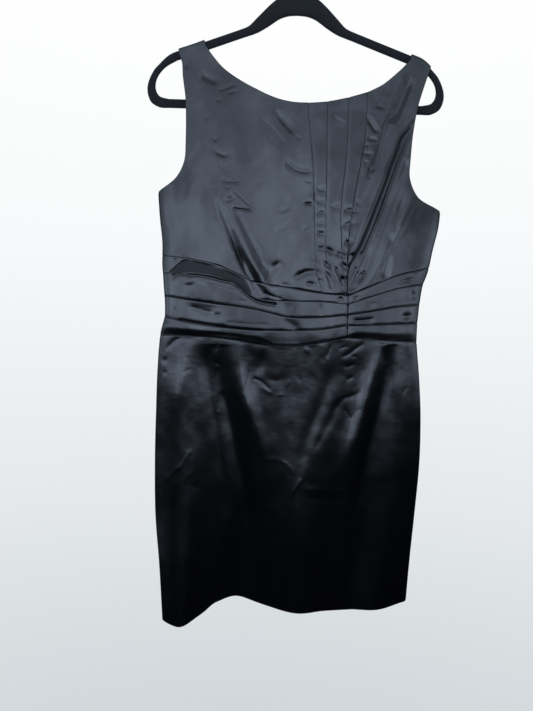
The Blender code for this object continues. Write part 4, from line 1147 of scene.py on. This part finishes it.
def side_height(height_at, side):
    """The height at which a line across the cut meets a side seam."""
    z = BACK_WAIST_Z
    for _ in range(SEAM_TRIES):
        z = float(height_at(section(side, z)))
    return z


def other(half):
    """The side edge, as the front is seen, that a half of the dress, as worn, reaches to."""
    return "left" if half == "right" else "right"


def seam_to_side(name, lift, half, centre_x):
    """A midriff line from the centre front to its side seam."""
    side = other(half)

    def height_at(x):
        return midriff_line(name, half, x) + lift

    end_z = side_height(height_at, side)
    x = across(centre_x, float(section(side, end_z)), EDGE_STEP)
    path = np.column_stack([x, height_at(x)])
    path[-1, 1] = end_z
    return path


def whole_seam(name, lift):
    """A midriff line from the left side seam to the right one."""
    right_half = seam_to_side(name, lift, "right", CENTRE_FRONT_SEAM_X)
    left_half = seam_to_side(name, lift, "left", CENTRE_FRONT_SEAM_X)
    return np.vstack([right_half[::-1], left_half[1:]])


def strap_top(span):
    x = across(*span, EDGE_STEP)
    return np.column_stack([x, strap_end(x)])


def upper_edges(neckline):
    """From the left underarm over both straps to the right underarm."""

    def armhole(side, underarm, points):
        return smooth_path([(float(section(side, underarm)), underarm), *points], EDGE_STEP)

    def up(start, x, strap_corner):
        turn = (x, (strap_end(x) + strap_arc_base(x)) / 2)
        return straight_path([start, turn, strap_corner], EDGE_STEP / 2)

    left_armhole = armhole("left", LEFT_UNDERARM_Z, LEFT_ARMHOLE)
    right_armhole = armhole("right", RIGHT_UNDERARM_Z, RIGHT_ARMHOLE)[::-1]
    neck = smooth_path(neckline, EDGE_STEP)
    left_strap, right_strap = strap_top(LEFT_STRAP_X), strap_top(RIGHT_STRAP_X)

    armhole_up = up(left_armhole[-1], LEFT_STRAP_X[0], left_strap[0])
    neck_down = up(neck[0], LEFT_STRAP_X[1], left_strap[-1])[::-1]
    neck_up = up(neck[-1], RIGHT_STRAP_X[0], right_strap[0])
    armhole_down = up(right_armhole[0], RIGHT_STRAP_X[1], right_strap[-1])[::-1]
    return [
        ("free", np.vstack([left_armhole[:-1], armhole_up])),
        ("seam", left_strap),
        ("free", np.vstack([neck_down, neck[1:-1], neck_up])),
        ("seam", right_strap),
        ("free", np.vstack([armhole_down, right_armhole[1:]])),
    ]


def strap_points():
    """Points that let a strap turn smoothly over the hanger arm."""
    made = []
    for start, end in (LEFT_STRAP_X, RIGHT_STRAP_X):
        for lift in np.arange(STRAP_ROW_START, STRAP_RADIUS * math.pi / 2, STRAP_ROW_STEP):
            x = across(start + STRAP_ROW_MARGIN, end - STRAP_ROW_MARGIN, 2 * EDGE_STEP)
            made.append(np.column_stack([x, strap_arc_base(x) + lift]))
    return made


def pleat_lines():
    """Rows of mesh edges along each knot of the pleats' cross-section."""
    lines = []
    for i, points in enumerate(PLEATS):
        path = smooth_path(points, EDGE_STEP)
        scale = pleat_folds(path[:, 1])[1][i]
        profile = DRAPE_PROFILE if points is PLEATS[-1] else PLEAT_PROFILE
        lines += [np.column_stack([path[:, 0] + knot.u * scale, path[:, 1]]) for knot in profile]
    return lines


def band_lines(half):
    """Rows of mesh edges along each knot of the bands' cross-section."""
    stations = MIDRIFF_STATIONS[half]
    x = across(stations[0] - BAND_MARGIN, stations[-1] + BAND_MARGIN, EDGE_STEP)
    lines = []
    for name in BAND_EDGES:
        top, scale = midriff_line(name, half, x), band_scale(name, half, x)
        lines += [np.column_stack([x, top + knot.u * scale]) for knot in PLEAT_PROFILE]
    return lines


# Pieces of the dress


def make_bodice_front():
    low = whole_seam("top_seam", HALF_GAP)
    edges = [
        *upper_edges(NECKLINE),
        ("side", side_path("right", RIGHT_UNDERARM_Z, low[-1, 1])),
        ("seam", low[::-1]),
        ("side", side_path("left", LEFT_UNDERARM_Z, low[0, 1])[::-1]),
    ]
    cloth(
        "bodice_front_satin", "bodice_front", FRONT, edges, pleat_lines(), strap_points(),
        pleat_shape, "x", BODICE_CREASES,
    )


def make_midriff(half, strokes):
    centre_x = CENTRE_FRONT_SEAM_X + (-HALF_GAP if half == "right" else HALF_GAP)
    top = seam_to_side("top_seam", -HALF_GAP, half, centre_x)
    low = seam_to_side("skirt_seam", HALF_GAP, half, centre_x)
    edges = [
        ("seam", top),
        ("side", side_path(other(half), top[-1, 1], low[-1, 1])),
        ("tucked", low[::-1]),
        ("seam", plumb_path(centre_x, top[0, 1], low[0, 1])[::-1]),
    ]
    cloth(
        f"midriff_{half}_satin", f"midriff_{half}", FRONT, edges, band_lines(half), (),
        midriff_relief(half), "z", strokes,
    )


def make_skirt_front():
    top = whole_seam("skirt_seam", -HALF_GAP)
    hem = smooth_path(HEM, EDGE_STEP)
    edges = [
        ("tucked", top),
        ("side", side_path("right", top[-1, 1], hem[-1, 1])),
        ("free", hem[::-1]),
        ("side", side_path("left", top[0, 1], hem[0, 1])[::-1]),
    ]
    cloth("skirt_front_satin", "skirt_front", FRONT, edges, strokes=SKIRT_CREASES)


def half_of(path, half):
    """The part of a path, running left to right, on one side of the centre back."""
    centre = CENTRE_BACK_X + (-HALF_GAP if half == "right" else HALF_GAP)
    middle = np.array([[centre, np.interp(centre, path[:, 0], path[:, 1])]])
    if half == "right":
        return np.vstack([path[path[:, 0] < centre - CENTRE_CLEARANCE], middle])
    return np.vstack([middle, path[path[:, 0] > centre + CENTRE_CLEARANCE]])


def on_half(strokes, half):
    return [c for c in strokes if (c.points[0][0] < CENTRE_BACK_X) == (half == "right")]


def make_bodice_back(half):
    upper = upper_edges(BACK_NECKLINE)
    neck = half_of(upper[2][1], half)
    centre_x, centre_top = neck[-1] if half == "right" else neck[0]
    centre = plumb_path(centre_x, centre_top, BACK_WAIST_Z)
    underarm = LEFT_UNDERARM_Z if half == "right" else RIGHT_UNDERARM_Z
    side = side_path(other(half), underarm, BACK_WAIST_Z)
    low = straight_path([side[-1], centre[-1]], EDGE_STEP)
    if half == "right":
        edges = [*upper[:2], ("free", neck), ("seam", centre), ("tucked", low[::-1])]
        edges.append(("side", side[::-1]))
    else:
        edges = [("free", neck), *upper[3:], ("side", side), ("tucked", low)]
        edges.append(("seam", centre[::-1]))
    cloth(
        f"bodice_back_{half}_satin", f"bodice_back_{half}", BACK, edges, (), strap_points(),
        strokes=on_half(BACK_BODICE_CREASES, half),
    )


def make_skirt_back(half):
    hem = half_of(smooth_path(HEM, EDGE_STEP), half)
    hem = hem if half == "right" else hem[::-1]
    centre = plumb_path(hem[-1][0], BACK_WAIST_Z, hem[-1][1])
    side = side_path(other(half), BACK_WAIST_Z, hem[0][1])
    top = straight_path([centre[0], side[0]], EDGE_STEP)
    edges = [("tucked", top), ("side", side), ("free", hem), ("seam", centre[::-1])]
    cloth(
        f"skirt_back_{half}_satin", f"skirt_back_{half}", BACK, edges,
        strokes=on_half(BACK_SKIRT_CREASES, half),
    )


def make_zip_tape():
    """The zip's woven tapes inside the centre back seam, and its coil of small teeth."""
    left, right = CENTRE_BACK_X - ZIP_WIDTH / 2, CENTRE_BACK_X + ZIP_WIDTH / 2
    edges = [
        ("free", straight_path([(left, ZIP_TOP), (right, ZIP_TOP)], EDGE_STEP)),
        ("free", plumb_path(right, ZIP_TOP, ZIP_BOTTOM)),
        ("free", straight_path([(right, ZIP_BOTTOM), (left, ZIP_BOTTOM)], EDGE_STEP)),
        ("free", plumb_path(left, ZIP_TOP, ZIP_BOTTOM)[::-1]),
    ]
    verts, faces = cut_mesh(edges, [], NO_POINTS, BACK_STEP)
    x, z = verts.T
    outer_inset = CLOTH + GAP
    inner_inset = outer_inset + TAPE_THICKNESS
    outer, inner = (
        place(x, z, BACK, np.full(len(x), inset)) for inset in (outer_inset, inner_inset)
    )
    tape = shell("zip_tape_woven", faces, outer, inner, BACK, (TAPE,))
    coil = make_coil(inner_inset)
    for piece in (tape, coil):
        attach(piece, "dress")
    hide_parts("zip_tape")


def make_coil(inset):
    """Rows of teeth down the middle of the tape's inner side."""
    built = bmesh.new()
    from_top, from_bottom = COIL_ENDS
    z = np.arange(ZIP_TOP - from_top, ZIP_BOTTOM + from_bottom, -COIL_PITCH)
    x = np.full(len(z), CENTRE_BACK_X)
    turned = Matrix.Rotation(math.pi / 2, 4, "Y")
    for point in place(x, z, BACK, np.full(len(z), inset + COIL_RADIUS * COIL_SINK)):
        bmesh.ops.create_cone(
            built, cap_ends=True, segments=COIL_SEGMENTS, radius1=COIL_RADIUS * MM,
            radius2=COIL_RADIUS * MM, depth=COIL_WIDTH * MM,
            matrix=Matrix.Translation(Vector(point) * MM) @ turned,
        )
    coil = put_bmesh_in_scene("zip_coil", built, TAPE)
    shade(coil)
    return coil


# Hanger


def poly_curve(name, dimensions, runs, radii=None, **settings):
    """A curve of straight runs of points in millimetres, which are closed if it has no radii."""
    curve = bpy.data.curves.new(name, "CURVE")
    curve.dimensions = dimensions
    for key, value in settings.items():
        setattr(curve, key, value)
    for points in runs:
        spline = curve.splines.new("POLY")
        spline.points.add(len(points) - 1)
        spline.use_cyclic_u = radii is None
        for control, point in zip(spline.points, points):
            control.co = (*(float(value) * MM for value in point), 1)
        for control, radius in zip(spline.points, radii or ()):
            control.radius = radius
    return curve


def mesh_from(curve, name, made):
    """A curve's evaluated shape as a welded, smoothly shaded mesh object."""
    bent = put_in_scene("shape", curve)
    bpy.context.view_layer.update()
    graph = bpy.context.evaluated_depsgraph_get()
    data = bpy.data.meshes.new_from_object(bent.evaluated_get(graph))
    bpy.data.objects.remove(bent)
    welded = bmesh.new()
    welded.from_mesh(data)
    bmesh.ops.remove_doubles(welded, verts=welded.verts, dist=CURVE_WELD)
    obj = put_bmesh_in_scene(name, welded, made)
    shade(obj)
    return obj


def mirrored(half):
    """A closed outline from its right half, whose first and last points lie on the middle plane."""
    return np.vstack([half, (half[1:-1] * (-1, 1))[::-1]])


def make_hanger_body():
    x = across(ARM_START_X, ARM_END_X, 2 * HANGER_STEP)
    arm = np.column_stack([x, arm_top(x)])
    crown = smooth_path([*HANGER_CROWN, arm[0]], HANGER_STEP)
    end = smooth_path([arm[-1], *HANGER_END], HANGER_STEP)
    outer = mirrored(np.vstack([crown, arm[1:], end[1:], [(0, BAR_BOTTOM)]]))
    peak, loop = smooth_path(HANGER_PEAK, HANGER_STEP), smooth_path(HANGER_LOOP, HANGER_STEP)
    inner = mirrored(np.vstack([peak, loop, [(0, BAR_TOP)]]))
    runs = [np.column_stack([path, np.zeros(len(path))]) for path in (outer, inner)]
    curve = poly_curve(
        "hanger_plate", "2D", runs, fill_mode="BOTH",
        extrude=(HANGER_THICKNESS / 2 - HANGER_ROUNDING) * MM, offset=-HANGER_ROUNDING * MM,
        bevel_depth=HANGER_ROUNDING * MM, bevel_resolution=4,
    )
    body = mesh_from(curve, "hanger_flocked", FLOCK)
    body.data.transform(Matrix.Rotation(math.pi / 2, 4, "X"))
    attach(body, "dress")
    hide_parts("hanger_body")


def make_hanger_hook():
    angles = np.radians(np.linspace(*HOOK_BOW, HOOK_BOW_POINTS))
    radius = HOOK_INNER_RADIUS + HOOK_WIRE_RADIUS
    bow = np.column_stack([radius * np.cos(angles), radius * np.sin(angles) - HOOK_INNER_RADIUS])
    route = np.vstack([smooth_path([*HOOK_STEM, bow[0]], HOOK_WIRE_RADIUS)[:-1], bow])
    runs = run_lengths(route)
    rings = np.linspace(0, math.pi / 2, HOOK_TIP_RINGS)
    caps = runs[-1] - HOOK_WIRE_RADIUS * (1 - np.cos(rings))[::-1]
    stops = np.concatenate([runs[runs < caps[0] - HOOK_TIP_GAP], caps])
    x, z = (np.interp(stops, runs, route[:, axis]) for axis in (0, 1))
    from_tip = np.minimum(1.0, (runs[-1] - stops) / HOOK_WIRE_RADIUS)
    radii = np.maximum(HOOK_TIP_SHARE, np.sqrt(1 - (1 - from_tip) ** 2))
    curve = poly_curve(
        "hook_wire", "3D", [np.column_stack([x, np.zeros(len(x)), z])], radii.tolist(),
        bevel_depth=HOOK_WIRE_RADIUS * MM, bevel_resolution=6, use_fill_caps=True,
    )
    hook = mesh_from(curve, "hanger_hook_wire", CHROME)
    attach(hook, "dress")
    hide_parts("hanger_hook")


# Nodes of materials


def fill(tree, socket, value):
    """Joins a socket to another node's output, or sets its number or colour."""
    if isinstance(value, bpy.types.NodeSocket):
        tree.links.new(value, socket)
    else:
        socket.default_value = value


def add(tree, kind, *values, **named):
    """Adds a node and gives its outputs. A name in small letters is a setting, not a socket."""
    node = tree.nodes.new("ShaderNode" + kind)
    for key, value in named.items():
        if key.islower():
            setattr(node, key, value)
        else:
            fill(tree, node.inputs[key.replace("_", " ")], value)
    for socket, value in zip(node.inputs, values):
        fill(tree, socket, value)
    return node.outputs


def remap(tree, value, start, end=(0.0, 1.0)):
    """Turns the range start into the range end."""
    ends = {"From_Min": start[0], "From_Max": start[1], "To_Min": end[0], "To_Max": end[1]}
    return add(tree, "MapRange", Value=value, **ends)[0]


def times(tree, first, *factors):
    for factor in factors:
        first = add(tree, "Math", first, factor, operation="MULTIPLY")[0]
    return first


def ramp(tree, value, stops):
    """A colour ramp through stops of position and colour, or of position and brightness."""
    made = add(tree, "ValToRGB", value)
    elements = made[0].node.color_ramp.elements
    while len(elements) < len(stops):
        elements.new(0.5)
    for element, (position, colour) in zip(elements, stops):
        element.position = position
        element.color = (*(colour if isinstance(colour, tuple) else (colour,) * 3), 1)
    return made["Color"]


def emptied(owner):
    """A material's or a world's node tree, with nothing in it."""
    owner.use_nodes = True
    owner.node_tree.nodes.clear()
    return owner.node_tree


def principled(material):
    return material.node_tree.nodes["Principled BSDF"].inputs


def shader(name, colour, roughness, **sockets):
    """A material with a Principled shader, whose plain numbers are set on its own sockets."""
    made = bpy.data.materials.new(name)
    made.use_nodes = True
    for socket, value in {"Base_Color": (*colour, 1), "Roughness": roughness, **sockets}.items():
        principled(made)[socket.replace("_", " ")].default_value = value
    return made


def noisy(material, scale, frequency, detail=2.0):
    """Noise in object coordinates, stretched by a scale on each axis."""
    tree = material.node_tree
    point = add(tree, "Mapping", Vector=add(tree, "TexCoord")["Object"], Scale=scale)[0]
    return add(tree, "TexNoise", Vector=point, Scale=frequency, Detail=detail)[0]


def roughened(material, value, low, high):
    """Runs the roughness between two numbers as a texture goes from 0 to 1."""
    tree = material.node_tree
    fill(tree, principled(material)["Roughness"], remap(tree, value, (0.0, 1.0), (low, high)))


def tinted(material, value, dark, light):
    """Runs the base colour between two as a texture goes from 0 to 1."""
    tree = material.node_tree
    fill(tree, principled(material)["Base Color"], ramp(tree, value, ((0, dark), (1, light))))


def bumps(material, *layers):
    """Bump from textures, each with its height in metres."""
    tree, below = material.node_tree, {}
    for value, height in layers:
        normal = add(tree, "Bump", Height=value, Strength=1.0, Distance=height, **below)[0]
        below = {"Normal": normal}
    fill(tree, principled(material)["Normal"], normal)


def paint_shade_in_hollows(material):
    """Dulls the shader deep in a crease, where the cloth closes over itself, and paints shade there
    by darkening its shine.
    """
    tree, rough = material.node_tree, principled(material)["Roughness"]
    settings = {"samples": HOLLOW_SAMPLES, "only_local": True}
    opened = add(tree, "AmbientOcclusion", Distance=HOLLOW_REACH, **settings)
    depth = remap(tree, opened["AO"], HOLLOW_AO, (1.0, 0.0))
    even = rough.links[0].from_socket
    fill(tree, rough, add(tree, "Mix", Factor=depth, A=even, B=HOLLOW_ROUGHNESS)[0])
    # Painted shade: the shine's tint falls towards black where ambient occlusion finds a crease.
    dark = remap(tree, depth, (0.0, 1.0), (1.0, HOLLOW_PAINTED_SHADE))
    cloudy = noisy(material, (1, 1, 0.7), CLOUDY_FREQUENCY, 3)
    cloudy = remap(tree, cloudy, *CLOUDY_TINT)
    # The specular tint carries the painted shade of the creases, times a random cloudiness.
    fill(tree, principled(material)["Specular Tint"], times(tree, dark, cloudy))


def satin_material():
    made = shader("satin", (0.0012, 0.0013, 0.0018), 0.28, Specular_IOR_Level=1.0)
    drift = noisy(made, (1, 1, 0.6), 14, 3)
    tinted(made, drift, (0.0010, 0.0011, 0.0015), (0.0016, 0.0018, 0.0024))
    roughened(made, noisy(made, (1, 1, 0.5), 30, 4), 0.19, 0.25)
    paint_shade_in_hollows(made)
    floats = noisy(made, (1, 1, 0.16), 2600)
    slubs = noisy(made, (0.22, 0.22, 1), 340)
    bumps(made, (slubs, 0.00006), (floats, 0.00002))
    return made


def lining_material():
    made = shader("lining", (0.004, 0.0042, 0.005), 0.55, Specular_IOR_Level=0.4)
    roughened(made, noisy(made, (1, 1, 1), 60, 3), 0.5, 0.62)
    bumps(made, (noisy(made, (1, 1, 0.4), 1800), 0.00003))
    return made


def flock_material():
    made = shader(
        "flock", (0.008, 0.0085, 0.0095), 0.95,
        Specular_IOR_Level=0.2, Sheen_Weight=0.25, Sheen_Roughness=0.5,
    )
    tinted(made, noisy(made, (1, 1, 1), 90, 4), (0.006, 0.0065, 0.0075), (0.011, 0.0115, 0.0125))
    bumps(made, (noisy(made, (1, 1, 1), 2400), 0.0001))
    return made


def chrome_material():
    made = shader("chrome", (0.72, 0.73, 0.75), 0.14, Metallic=1.0)
    roughened(made, noisy(made, (1, 1, 1), 300, 3), 0.1, 0.2)
    return made


def enamel_material():
    made = shader("black_enamel", (0.006, 0.006, 0.007), 0.3, Specular_IOR_Level=0.6)
    roughened(made, noisy(made, (1, 1, 1), 500, 4), 0.24, 0.42)
    bumps(made, (noisy(made, (1, 1, 1), 900), 0.00001))
    return made


def tape_material():
    made = shader("zip_tape", (0.006, 0.0065, 0.008), 0.8, Specular_IOR_Level=0.3)
    tinted(made, noisy(made, (1, 1, 0.3), 900), (0.004, 0.0045, 0.006), (0.008, 0.009, 0.011))
    bumps(made, (noisy(made, (0.4, 1, 1), 1600, 1), 0.00006))
    return made


def floor_material():
    made = shader(
        "pale_floor", (0.75, 0.76, 0.77), 0.9,
        Emission_Color=(0.9, 0.97, 1.0, 1), Emission_Strength=0.62,
    )
    tinted(made, noisy(made, (1, 1, 1), 5, 3), (0.72, 0.73, 0.74), (0.78, 0.79, 0.8))
    return made


SATIN = satin_material()
LINING = lining_material()
FLOCK = flock_material()
CHROME = chrome_material()
ENAMEL = enamel_material()
TAPE = tape_material()


# Stage, light and camera


def make_background():
    """A plain pale background to the camera, and soft light from above to everything else."""
    world = bpy.data.worlds.new("studio")
    bpy.context.scene.world = world
    tree = emptied(world)
    up = add(tree, "SeparateXYZ", add(tree, "TexCoord")["Generated"])["Z"]
    height = add(tree, "Math", up, 0.5, 0.5, operation="MULTIPLY_ADD")[0]
    stops = [(0.5 + 0.5 * math.sin(math.radians(angle)), colour) for angle, colour in BACKGROUND]
    seen = add(tree, "Background", Color=ramp(tree, height, stops))[0]
    sky = SURROUND_STRENGTH * SKY
    light = add(tree, "Background", Color=(*SURROUND_COLOUR, 1), Strength=sky)[0]
    to_camera = add(tree, "LightPath")["Is Camera Ray"]
    add(tree, "OutputWorld", Surface=add(tree, "MixShader", to_camera, light, seen)[0])


def softbox_material():
    """Light that changes with height, to the sides and in depth, with soft clouds."""
    glow = bpy.data.materials.new("softbox")
    tree = emptied(glow)
    point = add(tree, "TexCoord")["Object"]
    x, y, z = add(tree, "SeparateXYZ", point)
    low, high = SURROUND[0][0], SURROUND[-1][0]
    height = remap(tree, z, (low, high))
    in_radius = (-SURROUND_RADIUS, SURROUND_RADIUS)

    def graded(value, table, low=-1, high=1):
        return ramp(tree, value, [((key - low) / (high - low), share) for key, share in table])

    colours = [(key, tuple(share * c for c in SURROUND_COLOUR)) for key, share in SURROUND]
    evened = graded(height, SIDES_EVEN_OUT, low, high)
    to_sides = graded(remap(tree, x, in_radius), SURROUND_ACROSS)
    in_depth = graded(remap(tree, y, in_radius), SURROUND_DEEP)
    sides = add(tree, "Mix", Factor=evened, A=1.0, B=to_sides)[0]
    clouds = add(tree, "TexNoise", Vector=point, Scale=CLOUD_SCALE, Detail=CLOUD_DETAIL)[0]
    strength = times(tree, sides, in_depth, remap(tree, clouds, *CLOUDS), SURROUND_STRENGTH)
    light = add(tree, "Emission", Color=graded(height, colours, low, high), Strength=strength)[0]
    add(tree, "OutputMaterial", Surface=light)
    return glow


def make_surround():
    """A round softbox wall, bright above the waist and fading to dark by the floor."""
    built = bmesh.new()
    height = SURROUND_TOP - FLOOR_Z
    bmesh.ops.create_cone(
        built, cap_ends=False, segments=ROUND_SEGMENTS, radius1=SURROUND_RADIUS,
        radius2=SURROUND_RADIUS, depth=height,
    )
    bmesh.ops.translate(built, verts=built.verts, vec=(0, 0, FLOOR_Z + height / 2))
    wall = put_bmesh_in_scene("softbox_wall", built, softbox_material())
    wall.visible_camera = False


def make_floor():
    built = bmesh.new()
    bmesh.ops.create_circle(built, cap_ends=True, segments=ROUND_SEGMENTS, radius=FLOOR_RADIUS)
    floor = put_bmesh_in_scene("floor", built, floor_material())
    floor.location = (0, 0, FLOOR_Z)
    floor.visible_glossy = False


def make_camera():
    lens = bpy.data.cameras.new("camera")
    lens.lens = CAMERA_LENS
    lens.sensor_width = CAMERA_SENSOR
    lens.clip_start = CAMERA_CLIP
    camera = put_in_scene("camera", lens)
    level = Matrix.Rotation(math.pi / 2, 4, "X")
    roll = Matrix.Rotation(CAMERA_ROLL, 4, "Z")
    camera.matrix_world = Matrix.Translation(CAMERA_PLACE) @ level @ roll
    bpy.context.scene.camera = camera


def main():
    bpy.context.scene.view_settings.view_transform = "Standard"
    make_camera()
    make_background()
    make_surround()
    make_floor()
    make_hanger_body()
    make_hanger_hook()
    make_bodice_front()
    make_skirt_front()
    for half, strokes in (("right", MIDRIFF_RIGHT_CREASES), ("left", MIDRIFF_LEFT_CREASES)):
        make_midriff(half, strokes)
        make_bodice_back(half)
        make_skirt_back(half)
    make_zip_tape()
    for node in ("zip_slider", "zip_pull_tab"):
        bpy.data.objects[node].data.materials.clear()
        bpy.data.objects[node].data.materials.append(ENAMEL)


main()
